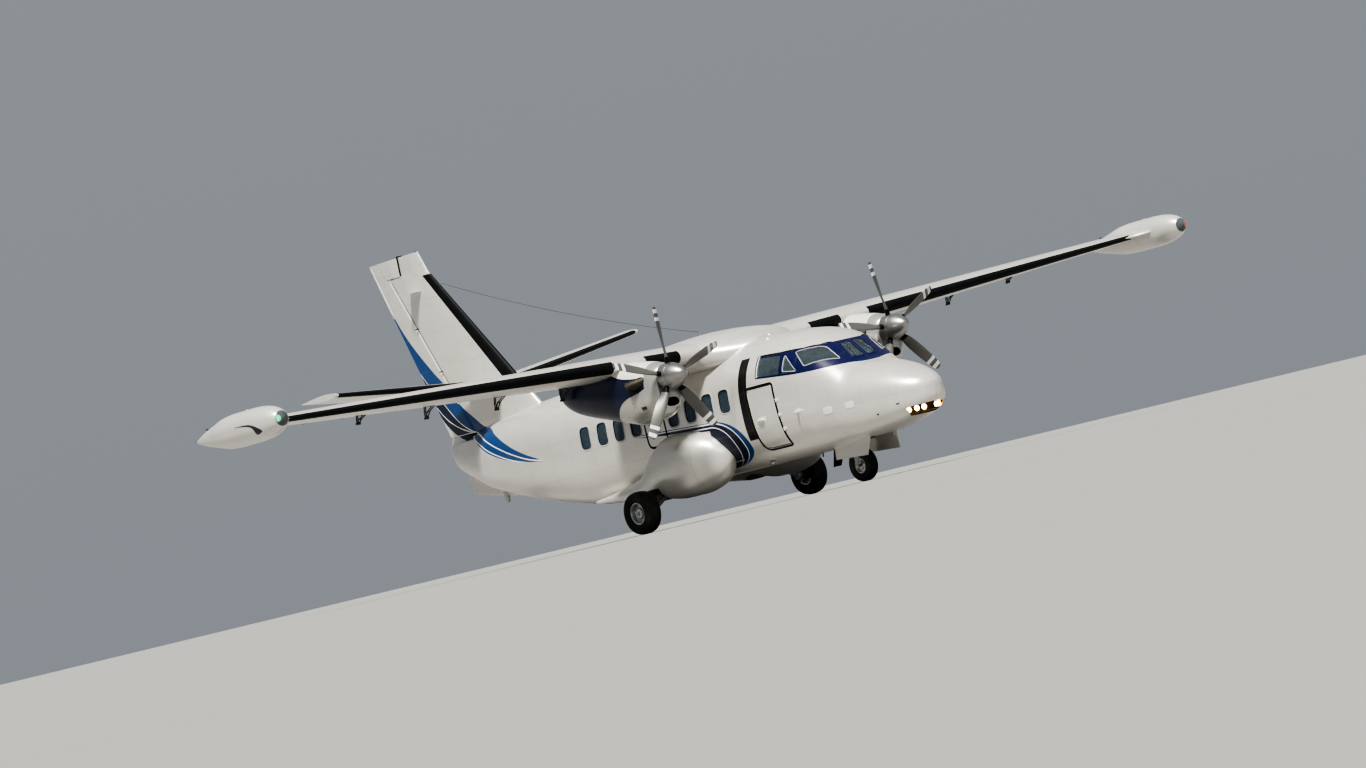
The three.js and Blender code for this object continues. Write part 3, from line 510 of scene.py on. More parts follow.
# Skin joints and rivet rows: dark hairlines at even stations along x and rows in y or z
seams, n, given, out = group("seams", {
    "Pitch X": 0.5, "Pitch Y": 10.0, "Pitch Z": 0.6, "Width": 0.003, "Rivet Pitch": 0.04, "Rivet Size": 0.005,
}, {"Line": "Float", "Rivet": "Float"})
place = n.split(n.where())
away = [n.math("PINGPONG", place[i], n.times(given["Pitch " + "XYZ"[i]], 0.5)) for i in range(3)]
dots = [n.math("PINGPONG", place[i], n.times(given["Rivet Pitch"], 0.5)) for i in range(3)]
nearest = n.math("MINIMUM", *away)
n.feed(out["Line"], n.math("LESS_THAN", nearest, given["Width"]))
ends = n.math("LESS_THAN", n.plus(*dots), 0.022)
n.feed(out["Rivet"], n.times(ends, n.near(nearest, 0.018, given["Rivet Size"])))


def newMaterial(name, **plain):
    finish = bpy.data.materials.new(name)
    finish.use_nodes = True
    shader = finish.node_tree.nodes["Principled BSDF"]
    for key, value in plain.items():
        shader.inputs[key.replace("_", " ")].default_value = value
    return finish, Nodes(finish.node_tree), shader.inputs


# Colour, roughness and bump from the wear group
def addWear(nodes, inputs, **values):
    worn = nodes.place(wear, {key.replace("_", " "): value for key, value in values.items()})
    for key, name in (("Base Color", "Color"), ("Roughness", "Roughness"), ("Normal", "Normal")):
        nodes.feed(inputs[key], worn[name])
    return worn["Normal"]


def wornMaterial(name, color, dirt=(0.2, 0.18, 0.15), amount=0.2, scale=3.0, streak=1.0, roughness=0.4,
                 grain=300.0, depth=0.0001, **plain):
    finish, nodes, inputs = newMaterial(name, **plain)
    addWear(nodes, inputs, Color=(*color, 1), Dirt=(*dirt, 1), Dirt_Amount=amount, Scale=scale, Streak=streak,
            Roughness=roughness, Roughness_Spread=0.15, Grain_Scale=grain, Grain_Depth=depth)
    return finish


paint = {
    "pearl": (0.70, 0.69, 0.655), "navy": (0.002, 0.006, 0.034), "maskNavy": (0.002, 0.005, 0.058),
    "midBlue": (0.005, 0.050, 0.175), "pin": (0.82, 0.83, 0.84), "black": (0.004, 0.004, 0.005),
}
# Edges of the paint as aft, height
tailTop = [(9.33, 1.645), (9.54, 1.704), (10.09, 1.881), (10.63, 2.10), (11.10, 2.31), (11.38, 2.43),
           (11.95, 2.505), (12.04, 2.56), (12.20, 2.684), (12.59, 3.006), (12.81, 3.30), (13.18, 3.674),
           (13.58, 4.135), (13.83, 4.479), (14.0, 4.80)]
tailLow = [(9.33, 1.630), (9.98, 1.695), (10.33, 1.748), (10.61, 1.796), (11.16, 1.942), (11.46, 2.052),
           (11.68, 2.163), (12.02, 2.315), (12.52, 2.345), (12.78, 2.409), (13.21, 2.707), (13.45, 3.186),
           (14.0, 4.60)]
pinUpper = [(9.36, 1.65), (9.76, 1.707), (10.34, 1.857), (10.97, 2.061), (11.40, 2.22), (11.80, 2.375),
            (12.375, 2.48), (13.18, 3.153), (14.0, 4.3)]
pinLower = [(9.36, 1.60), (10.39, 1.767), (10.97, 1.921), (11.40, 2.073), (11.68, 2.202), (12.07, 2.352),
            (12.945, 2.675), (13.383, 3.046), (14.0, 4.0)]
maskLow = [(1.30, 1.895), (1.359, 1.896), (1.397, 1.909), (1.483, 1.927), (1.713, 1.932), (2.086, 1.944),
           (2.624, 1.984), (3.20, 2.037)]
maskTop = [(1.30, 2.322), (1.86, 2.322), (1.95, 2.323), (2.186, 2.331), (2.641, 2.354), (3.20, 2.384)]
tankTop = [(4.14, 2.94), (4.165, 2.970), (4.22, 3.015), (4.288, 3.052), (4.37, 3.082), (4.461, 3.099),
           (4.84, 3.112)]
tankLow = [(4.14, 2.97), (4.20, 2.930), (4.315, 2.912), (4.335, 2.995), (4.411, 3.055), (4.60, 3.087),
           (4.84, 3.106)]
swoosh = {"centre": (4.60, 1.0), "outer": (0.88, 0.54), "pinOne": (0.735, 0.515), "pinTwo": (0.53, 0.453),
          "below": 0.29, "front": 3.66, "tail": 6.5, "rise": 0.047}

livery, n, given, out = group("livery", {"Color": (*paint["pearl"], 1)},
                              {"Color": "Color", "Painted": "Float"})
place = n.split(n.where())
aft = n.minus(noseX, place[0])
outward = n.math("ABSOLUTE", place[1])
height = place[2]

upperPin = n.edge(aft, pinUpper)
tail = n.times(n.above(aft, 9.33), n.above(n.edge(aft, tailTop), height),
               n.above(height, n.edge(aft, tailLow)))
tailBlue = n.times(tail, n.most(n.above(height, upperPin), n.above(12.05, aft)))
tailPins = n.times(tail,
                   n.most(n.near(height, upperPin, 0.011), n.near(height, n.edge(aft, pinLower), 0.011)))

# The ellipses ahead of the sponson turn into long lines behind their centre
centreAft, centreHeight = swoosh["centre"]
rise = n.minus(height, centreHeight)
ahead = n.most(n.minus(centreAft, aft), 0.0)
behind = n.most(n.minus(aft, centreAft), 0.0)
lean = n.times(behind, swoosh["rise"])


def inEllipse(size, grow=0.0):
    upper = n.math("DIVIDE", n.minus(rise, lean), size[1] + grow)
    tall = n.most(upper, n.math("DIVIDE", rise, -swoosh["below"]))
    long = n.math("DIVIDE", ahead, size[0] + grow)
    return n.math("LESS_THAN", n.plus(n.math("POWER", long, 2.0), n.math("POWER", tall, 2.0)), 1.0)


def pinLine(size, half):
    return n.times(inEllipse(size, half), n.minus(1.0, inEllipse(size, -half)))


front = n.times(n.above(aft, swoosh["front"]), n.above(swoosh["tail"], aft), n.above(outward, 0.6),
                n.above(height, 0.7))
lineBottom = n.plus(0.40, n.times(behind, 0.1))
front = n.times(front, n.most(n.above(centreAft, aft), n.above(rise, lineBottom)))
swooshAll = n.times(front, inEllipse(swoosh["outer"]))
swooshPins = n.times(front, n.most(pinLine(swoosh["pinOne"], 0.011), pinLine(swoosh["pinTwo"], 0.009)))
swooshBlue = n.times(swooshAll, n.minus(1.0, inEllipse(swoosh["pinOne"])))

crescent = n.times(n.above(outward, 9.78), n.above(aft, 4.165), n.above(4.82, aft),
                   n.above(n.edge(aft, tankTop), height), n.above(height, n.edge(aft, tankLow)))
cockpit = n.times(n.above(aft, 1.33), n.above(3.17, aft), n.above(height, n.edge(aft, maskLow)),
                  n.above(n.edge(aft, maskTop), height))
# The dark guard band beside the propellers leans back as it rises
guardShift = n.times(n.minus(2.4, height), 0.054)
guard = n.times(n.near(aft, n.plus(3.50, guardShift), 0.108), n.above(height, 1.08), n.above(2.40, height),
                n.above(outward, 0.5))
color = given["Color"]
for mask, name in ((tail, "navy"), (tailBlue, "midBlue"), (tailPins, "pin"), (swooshAll, "navy"),
                   (swooshBlue, "midBlue"), (swooshPins, "pin"), (crescent, "navy"), (cockpit, "maskNavy"),
                   (guard, "black")):
    color = n.blend(mask, color, (*paint[name], 1))
n.feed(out["Color"], color)
n.feed(out["Painted"], n.most(tail, swooshAll, cockpit, guard))


# Painted skin with joints and rivets; the livery is only on the pieces that carry stripes
def skinPaint(name, striped, pitch):
    finish, nodes, inputs = newMaterial(name, Coat_Weight=0.20, Coat_Roughness=0.14, Specular_IOR_Level=0.3)
    color, soiling, metallic = (*paint["pearl"], 1), 0.3, 0.42
    if striped:
        stripes = nodes.place(livery, {"Color": color})
        color = stripes["Color"]
        soiling = nodes.ramp(stripes["Painted"], 0.0, 1.0, soiling, 0.03)
        metallic = nodes.ramp(stripes["Painted"], 0.0, 1.0, metallic, 0.0)
    joint = nodes.place(seams, {"Pitch " + "XYZ"[i]: pitch[i] for i in range(3)})
    marked = nodes.blend(nodes.times(joint["Line"], 0.30), color, (0.16, 0.15, 0.13, 1))
    grain = addWear(nodes, inputs, Color=marked, Dirt=(0.42, 0.37, 0.29, 1), Dirt_Amount=soiling, Scale=1.1,
                    Streak=0.25, Roughness=0.34, Roughness_Spread=0.15, Grain_Scale=700.0,
                    Grain_Depth=0.00003)
    nodes.feed(inputs["Metallic"], metallic)
    dents = nodes.minus(nodes.times(joint["Rivet"], 0.35), joint["Line"])
    nodes.feed(inputs["Normal"], nodes.bump(dents, 0.5, 0.0015, Normal=grain))
    return finish


bodyPaint = skinPaint("body_paint", True, (0.62, 10.0, 0.62))
wingPaint = skinPaint("wing_paint", False, (0.58, 0.72, 10.0))
tankPaint = skinPaint("tank_paint", True, (0.8, 10.0, 10.0))
podPaint = skinPaint("pod_paint", False, (0.8, 10.0, 10.0))
platePaint = wornMaterial("plate_paint", (0.86, 0.85, 0.82), roughness=0.3, amount=0.1, Metallic=0.3)
seatFinish = wornMaterial("seat_cloth", (0.035, 0.042, 0.055), roughness=0.9, grain=900.0, depth=0.0012,
                          amount=0.3, Sheen_Weight=0.4, Sheen_Roughness=0.5)
maskPaint = wornMaterial("mask_paint", paint["maskNavy"], roughness=0.3, amount=0.03, Specular_IOR_Level=0.3)
silverPaint = wornMaterial("cowl_silver", (0.42, 0.41, 0.39), roughness=0.34, amount=0.45, Metallic=0.75,
                           dirt=(0.16, 0.14, 0.11), streak=0.3)
bladePaint = wornMaterial("blade_paint", (0.13, 0.13, 0.125), amount=0.3, Metallic=0.3)
bladeBand = wornMaterial("blade_band", (0.82, 0.82, 0.80), amount=0.15)
bootRubber = wornMaterial("boot_rubber", (0.004, 0.005, 0.006), dirt=(0.020, 0.019, 0.018), roughness=0.55,
                          amount=0.35, grain=500.0, depth=0.0003, Specular_IOR_Level=0.18)
sealRubber = wornMaterial("seal_rubber", (0.004, 0.004, 0.005), dirt=(0.02, 0.02, 0.02), roughness=0.6,
                          Specular_IOR_Level=0.2)
tyreRubber = wornMaterial("tyre_rubber", (0.018, 0.018, 0.019), dirt=(0.12, 0.10, 0.08), roughness=0.8,
                          amount=0.45, scale=6.0, grain=350.0, depth=0.001)
gearSteel = wornMaterial("gear_steel", (0.40, 0.41, 0.42), roughness=0.38, amount=0.4, Metallic=0.5,
                         scale=8.0)
chrome = wornMaterial("strut_chrome", (0.75, 0.76, 0.78), roughness=0.08, amount=0.1, Metallic=1.0)
alloy = wornMaterial("wheel_alloy", (0.62, 0.63, 0.64), roughness=0.35, amount=0.45, Metallic=0.85, scale=9.0,
                     dirt=(0.1, 0.08, 0.06))
engineMetal = wornMaterial("engine_metal", (0.20, 0.18, 0.16), roughness=0.5, amount=0.5, Metallic=0.9,
                           dirt=(0.05, 0.04, 0.035), scale=8.0)
scorched = wornMaterial("scorched_steel", (0.050, 0.044, 0.032), roughness=0.55, amount=0.75, Metallic=0.6,
                        dirt=(0.012, 0.011, 0.012), scale=9.0)
spinnerMetal = wornMaterial("spinner_polish", (0.40, 0.40, 0.39), roughness=0.36, amount=0.35, Metallic=0.95,
                            dirt=(0.12, 0.11, 0.10), streak=0.2)
# The reflector bowls' gold tint is painted warm lamplight; the bay's gold-brown is a dark bay colour with painted
# lamplight in it
bowlPaintedGlow = wornMaterial("lamp_bowl", (0.85, 0.55, 0.20), roughness=0.2, amount=0.1, Metallic=0.9)
lampBayPaintedGlow = wornMaterial("lamp_bay", (0.30, 0.19, 0.06), roughness=0.35, amount=0.3, Metallic=0.3)
framePaint = wornMaterial("frame_grey", (0.42, 0.44, 0.45), amount=0.25)
darkMetal = wornMaterial("dark_metal", (0.03, 0.03, 0.03), roughness=0.5, amount=0.35, Metallic=0.3)
lining = wornMaterial("cabin_lining", (0.80, 0.78, 0.73), roughness=0.8, grain=400.0, depth=0.0006)
bayPaint = wornMaterial("bay_primer", (0.20, 0.23, 0.17), roughness=0.65, amount=0.5)
panelPlastic = wornMaterial("panel_black", (0.02, 0.021, 0.022), roughness=0.55, amount=0.3, grain=800.0,
                            depth=0.0004)
floorAlloy = wornMaterial("floor_alloy", (0.30, 0.31, 0.31), roughness=0.55, amount=0.5, Metallic=0.6,
                          grain=120.0, depth=0.0008)
dialFace = wornMaterial("dial_face", (0.75, 0.75, 0.70), amount=0.1)


def brighter(color, share):
    return (*[min(1, c * share) for c in color], 1)


def glassMaterial(name, tint, roughness=0.02, share=1.0):
    finish, nodes, inputs = newMaterial(name, Metallic=0.0, IOR=1.48, Transmission_Weight=share,
                                        Coat_Weight=0.0)
    cloudy = nodes.noise(nodes.where(), 9.0, 4.0)
    smear = nodes.ramp(cloudy, 0.35, 0.75)
    nodes.feed(inputs["Base Color"], nodes.blend(smear, (*tint, 1), brighter(tint, 1.25)))
    nodes.feed(inputs["Roughness"], nodes.ramp(cloudy, 0.3, 0.8, roughness, roughness + 0.05))
    return finish


# Cabin and windscreen glass are lighter and bluer than clear glass: a slight real tint, and painted sky reflection
# in their diffuse part
cabinGlassPaintedSky = glassMaterial("cabin_glass", (0.20, 0.29, 0.37), 0.05, 0.86)
screenGlassPaintedSky = glassMaterial("screen_glass", (0.32, 0.42, 0.47), 0.03, 0.90)
lampGlass = glassMaterial("lamp_glass", (0.80, 0.82, 0.80))
tankGlass = glassMaterial("tank_glass", (0.16, 0.19, 0.19), 0.05, 0.5)


def lampMaterial(name, color, strength):
    finish, nodes, inputs = newMaterial(name, Emission_Strength=strength, Roughness=0.3)
    hot = nodes.ramp(nodes.noise(nodes.where(), 60.0), 0.3, 0.7)
    tone = nodes.blend(hot, (*color, 1), brighter(color, 1.15))
    nodes.feed(inputs["Base Color"], tone)
    nodes.feed(inputs["Emission Color"], tone)
    return finish


landingGlow = lampMaterial("landing_glow", (1.0, 0.70, 0.30), 16.0)
greenGlow = lampMaterial("green_glow", (0.02, 0.75, 0.36), 4.5)
redGlow = lampMaterial("red_glow", (0.75, 0.015, 0.01), 2.6)
whiteGlow = lampMaterial("white_glow", (0.9, 0.92, 1.0), 2.0)
print("materials made")

# The floor is plain and pale, and far larger than any view of the aircraft
floorFinish = wornMaterial("studio_floor", (0.31, 0.305, 0.295), dirt=(0.28, 0.275, 0.265), roughness=0.85,
                           amount=0.3, scale=0.15, grain=20.0, depth=0.0005)
stage = {"radius": 600.0, "rim": 96}
ground = bpy.data.meshes.new("floor")
ground.from_pydata([(stage["radius"] * math.cos(t), stage["radius"] * math.sin(t), 0) for t in
                    turnsOf(stage["rim"])], [], [tuple(range(stage["rim"]))])
ground.materials.append(floorFinish)
floor = bpy.data.objects.new("floor", ground)
scene.collection.objects.link(floor)

lights = {
    "key": {"from": (0.30, -0.42, 0.86), "power": 5.7, "size": 9, "color": (1.0, 0.965, 0.90)},
    "fill": {"from": (0.75, 0.45, 0.50), "power": 0.15, "size": 60, "color": (0.86, 0.92, 1.0)},
}
for name, light in lights.items():
    lamp = bpy.data.lights.new(name, "SUN")
    lamp.energy = light["power"]
    lamp.angle = math.radians(light["size"])
    lamp.color = light["color"]
    source = bpy.data.objects.new(name, lamp)
    source.rotation_euler = Vector(light["from"]).to_track_quat("Z", "Y").to_euler()
    scene.collection.objects.link(source)
world = bpy.data.worlds.new("studio")
scene.world = world
world.use_nodes = True
sky = Nodes(world.node_tree)
backdrop = world.node_tree.nodes["Background"]
rising = sky.split(sky.add("TexCoord").outputs["Generated"])[2]
sky.feed(backdrop.inputs["Color"], sky.blend(
    sky.ramp(rising, -0.05, 0.8), (0.66, 0.71, 0.77, 1), (0.93, 0.95, 0.98, 1)))
backdrop.inputs["Strength"].default_value = 0.34
scene.view_settings.look = "AgX - High Contrast"
print("stage and lights made")

# Fuselage
body = {
    # aft, top, bottom, half width
    "rows": [
        (0.0, 1.300, 1.110, 0.060), (0.030, 1.360, 1.030, 0.170), (0.120, 1.450, 0.950, 0.290),
        (0.300, 1.550, 0.870, 0.430), (0.670, 1.710, 0.770, 0.600), (1.0, 1.810, 0.720, 0.700),
        (1.370, 1.900, 0.680, 0.800), (1.900, 2.390, 0.650, 0.900), (2.200, 2.530, 0.635, 0.950),
        (2.500, 2.610, 0.620, 0.980), (3.150, 2.680, 0.610, 1.030), (3.900, 2.710, 0.610, 1.040),
        (8.300, 2.710, 0.610, 1.040), (9.350, 2.690, 0.760, 0.980), (10.200, 2.650, 0.930, 0.860),
        (11.000, 2.580, 1.130, 0.700), (11.850, 2.490, 1.370, 0.520), (12.540, 2.380, 1.680, 0.330),
        (12.900, 2.360, 1.860, 0.220), (13.130, 2.360, 2.100, 0.100),
    ],
    "screen": (1.37, 1.90), "upper": 2.4, "lower": 3.0, "around": 112, "wall": 0.045,
    "cavity": (1.45, 10.14), "deckEnd": 3.50, "deckFloor": 0.88,
}
screenFront, screenRear = body["screen"]
wholeBody = bluntTable(body["rows"], 0.0)
noseTop = bluntTable([row for row in body["rows"] if row[0] <= screenFront], 0.0)
roofTop = bluntTable([row for row in body["rows"] if row[0] >= screenRear], 0.0)


def bodyRow(aft):
    key = math.sqrt(max(aft, 0.0))
    _, bottom, half = wholeBody(key)
    if aft <= screenFront:
        top = noseTop(key)[0]
    elif aft >= screenRear:
        top = roofTop(key)[0]
    else:
        top = mix(noseTop(9)[0], roofTop(0)[0], (aft - screenFront) / (screenRear - screenFront))
    return top, bottom, half


def ovalRing(aft, middle, top, bottom, half, upper=2.4, lower=2.4, count=64):
    centre, tall = (top + bottom) / 2, (top - bottom) / 2
    ring = []
    for turn in turnsOf(count):
        c, s = math.cos(turn), math.sin(turn)
        power = upper if s >= 0 else lower
        reach = (abs(c) ** power + abs(s) ** power) ** (-1 / power)
        ring.append(spot(aft, middle + half * reach * c, centre + tall * reach * s))
    return ring


def bodyRing(aft, grow=0.0, count=body["around"]):
    top, bottom, half = bodyRow(aft)
    return ovalRing(aft, 0, top + grow, bottom - grow, half + grow, body["upper"], body["lower"], count)


def bodyRings(first, last, steps, grow=0.0, count=body["around"]):
    return [bodyRing(a, grow, count) for a in evenly(first, last, steps)]


# A place on the skin, with its half width worked out from the oval at a station and height
def onBody(aft, z, side):
    top, bottom, half = bodyRow(aft)
    centre, tall = (top + bottom) / 2, (top - bottom) / 2
    power = body["upper"] if z >= centre else body["lower"]
    share = min(abs((z - centre) / tall), 0.9999)
    return spot(aft, side * (half * (1 - share ** power) ** (1 / power)), z)


def onSkin(rows, side):
    return [onBody(a, z, side) for a, z in rows]


stations = [screenFront * (i / 26) ** 2 for i in range(27)]
for first, last, steps in ((screenFront, screenRear, 8), (screenRear, 3.9, 20), (3.9, 8.3, 14),
                           (8.3, 12.9, 36),
                           (12.9, 13.13, 5)):
    stations += evenly(first, last, steps)[1:]
rings = [bodyRing(a) for a in stations]
noseDome = [shrunk(rings[0], scale, Vector((shift, 0, 0))) for shift, scale in (
    (0.0075, 0.02), (0.0072, 0.2), (0.0060, 0.45), (0.0040, 0.7), (0.0018, 0.88))]
tailDome = [shrunk(rings[-1], scale, Vector((-shift, 0, 0))) for shift, scale in (
    (0.012, 0.94), (0.024, 0.78), (0.030, 0.5), (0.032, 0.1))]
bodyForm = loft(noseDome + rings + tailDome)
bodyGuide = guideOf(bodyForm)

wall = body["wall"]
cavity = []
for a in evenly(body["cavity"][0], screenRear, 4) + evenly(screenRear, body["deckEnd"], 10)[1:]:
    cavity.append([Vector((p.x, p.y, max(p.z, body["deckFloor"]))) for p in bodyRing(a, -wall, 64)])
cavity.append(bodyRing(body["deckEnd"] + 0.002, -wall, 64))
cavity += bodyRings(3.6, body["cavity"][1], 24, -wall, 64)

# Openings in the skin
doors = {
    "crew_door": {"front": 2.812, "rear": 3.425, "sill": 0.875, "head": 1.890, "corner": 0.13, "side": -1,
                  "rearGap": 0.016},
    "cargo_door": {"front": 7.600, "rear": 8.046, "sill": 0.812, "head": 2.260, "corner": 0.06, "side": 1,
                   "rearGap": 0.008},
    "passenger_door": {"front": 8.054, "rear": 8.850, "sill": 0.812, "head": 2.260, "corner": 0.06, "side": 1,
                       "rearGap": 0.008},
}
doorFit = {"gap": 0.008, "swing": 0.016, "from": 0.3, "to": 1.3, "small": 0.05}
panes = {
    "windscreen": {"corners": [(1.790, 0.035, 2.280), (1.790, 0.225, 2.262), (1.505, 0.262, 2.000),
                               (1.478, 0.035, 2.000)], "way": (0.72, 0.0, 0.70), "round": 0.03},
    "quarter_window": {"corners": [(1.850, 0.460, 2.250), (2.300, 0.738, 2.300), (2.060, 0.830, 2.040),
                                   (1.585, 0.450, 2.015)], "way": (0.45, 0.75, 0.48), "round": 0.035},
    "side_window": {"corners": [(2.530, 0.780, 2.305), (3.120, 0.815, 2.360), (3.120, 0.977, 2.050),
                                (2.180, 0.890, 1.965)], "way": (0.05, 0.97, 0.22), "round": 0.03},
}
cabinWindows = {
    "port": (4.051, 4.508, 4.986, 5.463, 6.0, 6.519, 7.001),
    "starboard": (4.051, 4.508, 4.986, 5.463, 6.0, 6.519, 7.001, 7.471, 7.965),
    "height": 1.816, "size": (0.27, 0.38), "round": 0.085,
}
noseBay = {"front": 1.480, "rear": 2.480, "half": 0.290, "low": 0.3, "roof": 0.830}
# The lamp recess follows the nose's lower front: its outline as y, z
lampRecess = {
    "outline": [(-0.42, 0.985), (-0.275, 0.846), (-0.10, 0.842), (0.10, 0.842), (0.275, 0.846), (0.42, 0.985),
                (0.19, 0.999), (-0.19, 0.999)], "round": 0.035, "front": -0.1, "rear": 0.50,
}


def doorOutline(door, panel):
    gap, rearGap, swing = (doorFit["gap"], door["rearGap"], doorFit["swing"]) if panel else (0.0, 0.0, 0.0)
    front, rear, sill, head = door["front"] + gap, door["rear"] - rearGap, door["sill"] + swing, door["head"] - gap
    corners = [Vector((a, 0, z)) for a, z in ((rear, sill), (rear, head), (front, head), (front, sill))]
    return rounded(corners, [door["corner"], *[doorFit["small"]] * 3], 7)


def doorPrism(door, panel):
    return loft([[spot(p.x, door["side"] * y, p.z) for p in doorOutline(door, panel)]
                 for y in (doorFit["from"], doorFit["to"])], 1)


def paneCorners(pane, side, grow=0.0):
    corners = spots(pane["corners"], side)
    middle = sum(corners, Vector()) / 4
    return [p + (p - middle).normalized() * grow for p in corners]


def paneOutline(pane, side, grow=0.0):
    return rounded(paneCorners(pane, side, grow), pane["round"], 5)


def windowCorners(aft, side, grow=0.0):
    wide, tall = (v / 2 + grow for v in cabinWindows["size"])
    middle = cabinWindows["height"]
    return onSkin([(aft - wide, middle - tall), (aft + wide, middle - tall), (aft + wide, middle + tall),
                   (aft - wide, middle + tall)], side)


openings = []
for tag, side in sides.items():
    for pane in panes.values():
        forward, out, up = pane["way"]
        openings.append(prism(paneOutline(pane, side), (forward, side * out, up), 0.16, 0.22))
    for aft in cabinWindows[tag]:
        outline = rounded(windowCorners(aft, side), cabinWindows["round"], 6)
        openings.append(prism([Vector((p.x, side * 0.7, p.z)) for p in outline], (0, side, 0), 0.0, 0.6))
openings += [doorPrism(door, False) for door in doors.values()]
openings.append(softBox((noseBay["rear"], -noseBay["half"], noseBay["low"]),
                        (noseBay["front"], noseBay["half"], noseBay["roof"]), 0.004, 2))
# The recess walls take the lamp bay colour, with its painted lamplight
outline = rounded([Vector((0, y, z)) for y, z in lampRecess["outline"]], lampRecess["round"], 5)
openings.append(loft([[spot(a, p.y, p.z) for p in outline]
                      for a in (lampRecess["front"], lampRecess["rear"])], 3))
cutSkin("fuselage", bodyForm, [bodyPaint, lining, bayPaint, lampBayPaintedGlow], [[loft(cavity, 1)], openings],
        ("nose_section", "flight_deck_shell", "cabin_shell", "tail_cone"))
print("fuselage made")

# A door is a shell of the body, kept only inside its outline
for name, door in doors.items():
    front, rear = door["front"] - 0.05, door["rear"] + 0.05
    panel = rawObject(name, [loft(bodyRings(front, rear, 16))], [bodyPaint, lining])
    carve(panel, [loft(bodyRings(front - 0.02, rear + 0.02, 17, -wall), 1)])
    carve(panel, [doorPrism(door, True)], keep=True)
    smoothFrom(panel, bodyGuide)
    settle(panel, name + "_body", (name,))
print("doors made")

# Sponsons
sponson = {
    # aft, top, bottom, inner side, outer side
    "rows": [
        (4.330, 1.010, 0.820, 0.850, 1.010), (4.400, 1.120, 0.700, 0.780, 1.110),
        (4.550, 1.290, 0.570, 0.680, 1.250), (4.800, 1.420, 0.470, 0.560, 1.400),
        (5.150, 1.490, 0.415, 0.480, 1.520), (5.550, 1.500, 0.415, 0.450, 1.550),
        (5.800, 1.370, 0.430, 0.450, 1.540), (6.050, 1.180, 0.450, 0.460, 1.500),
        (6.350, 1.000, 0.480, 0.500, 1.400), (6.800, 0.900, 0.530, 0.580, 1.290),
        (7.300, 0.830, 0.600, 0.680, 1.150), (7.580, 0.790, 0.630, 0.740, 1.080),
        (8.200, 0.740, 0.680, 0.820, 0.950),
    ],
    "start": 4.32, "low": 0.2, "around": 72, "caps": ((0.8, 0.010), (0.45, 0.018), (0.06, 0.021)),
    "recess": {"aft": 5.860, "y": 0.960, "radius": 0.385, "roof": 0.640},
    "slot": {"front": 5.700, "rear": 6.020, "inner": 0.960, "outer": 1.700, "roof": 0.690},
}
sponsonAt = bluntTable(sponson["rows"], sponson["start"])
bodyForCuts = loft(bodyRings(3.6, 8.6, 30, 0.0005, 96))
bodyInPod = form(bodyForCuts["points"], bodyForCuts["faces"], 1)
for tag, side in sides.items():
    rings = []
    for a in evenly(math.sqrt(0.0101), math.sqrt(8.2 - sponson["start"]), 72):
        top, bottom, inner, outer = sponsonAt(a)
        rings.append(ovalRing(sponson["start"] + a * a, side * (inner + outer) / 2, top, bottom,
                              (outer - inner) / 2, count=sponson["around"]))
    first, last = rings[0], rings[-1]
    for share, shift in sponson["caps"]:
        rings.insert(0, shrunk(first, share, Vector((shift, 0, 0))))
        rings.append(shrunk(last, share, Vector((-shift, 0, 0))))
    recess, slot = sponson["recess"], sponson["slot"]
    profile = [(z - sponson["low"], recess["radius"]) for z in (sponson["low"], recess["roof"])]
    well = turned(profile, (recess["aft"], side * recess["y"], sponson["low"]), (0, 0, 1), 72, 1)
    groove = softBox((slot["rear"], side * slot["inner"], sponson["low"]),
                     (slot["front"], side * slot["outer"], slot["roof"]), 0.002, 1)
    cutSkin("sponson_" + tag + "_skin", loft(rings), [podPaint, bayPaint], [[well], [groove], [bodyInPod]],
            ("sponson_" + tag,))
print("sponsons made")

# Wing, tail and their moving parts, all drawn between a root row and a tip row
wing = {
    "root": {"span": 0.0, "lead": 4.350, "chord": 2.534, "height": 2.643, "thick": 0.18, "twist": 2.0},
    "tip": {"span": 9.480, "lead": 4.642, "chord": 1.267, "height": 3.088, "thick": 0.12, "twist": -0.5},
    "camber": 0.022, "hinge": 0.73,
}
tailplane = {
    "root": {"span": 0.0, "lead": 11.110, "chord": 1.750, "height": 3.163, "thick": 0.12, "twist": 0.0},
    "tip": {"span": 3.368, "lead": 11.520, "chord": 1.090, "height": 3.577, "thick": 0.10, "twist": 0.0},
    "camber": 0.0, "hinge": 0.62,
}
fin = {
    "root": {"span": 2.300, "lead": 10.012, "chord": 3.103, "height": 0.0, "thick": 0.10, "twist": 0.0},
    "tip": {"span": 5.829, "lead": 13.012, "chord": 1.412, "height": 0.0, "thick": 0.09, "twist": 0.0},
    "camber": 0.0, "hinge": 0.716, "upright": True,
}
# Span stations, the clear gap at each end and the degrees that each surface turns up and down
controls = {
    "aileron": {"from": 6.260, "to": 9.330, "side": 0.025, "up": 20, "down": 20},
    "flap_inner": {"from": 1.160, "to": 1.960, "side": 0.035, "up": 0, "down": 42},
    "flap_outer": {"from": 2.870, "to": 6.190, "side": 0.035, "up": 0, "down": 42},
    "elevator": {"from": 0.260, "to": 3.290, "up": 30, "down": 14},
    "rudder": {"from": 2.470, "to": 5.829, "up": 17, "down": 17},
}
hingeFit = {"gap": 0.010, "lip": 0.060, "margin": 5, "behind": 0.15}
bootFit = {"proud": 0.0016, "sunk": -0.002}
chordSteps = [0.0, 0.002, 0.006, 0.0125, 0.022, 0.035, 0.05, 0.075, 0.1, 0.14, 0.19, 0.25, 0.31, 0.38, 0.45,
              0.53,
              0.61, 0.69, 0.77, 0.85, 0.93, 1.0]


def halfThickness(share, ratio):
    f = min(max(share, 0.0), 1.0)
    return 5 * ratio * (0.2969 * math.sqrt(f) - 0.126 * f - 0.3516 * f ** 2 + 0.2843 * f ** 3 - 0.1016 * f ** 4)


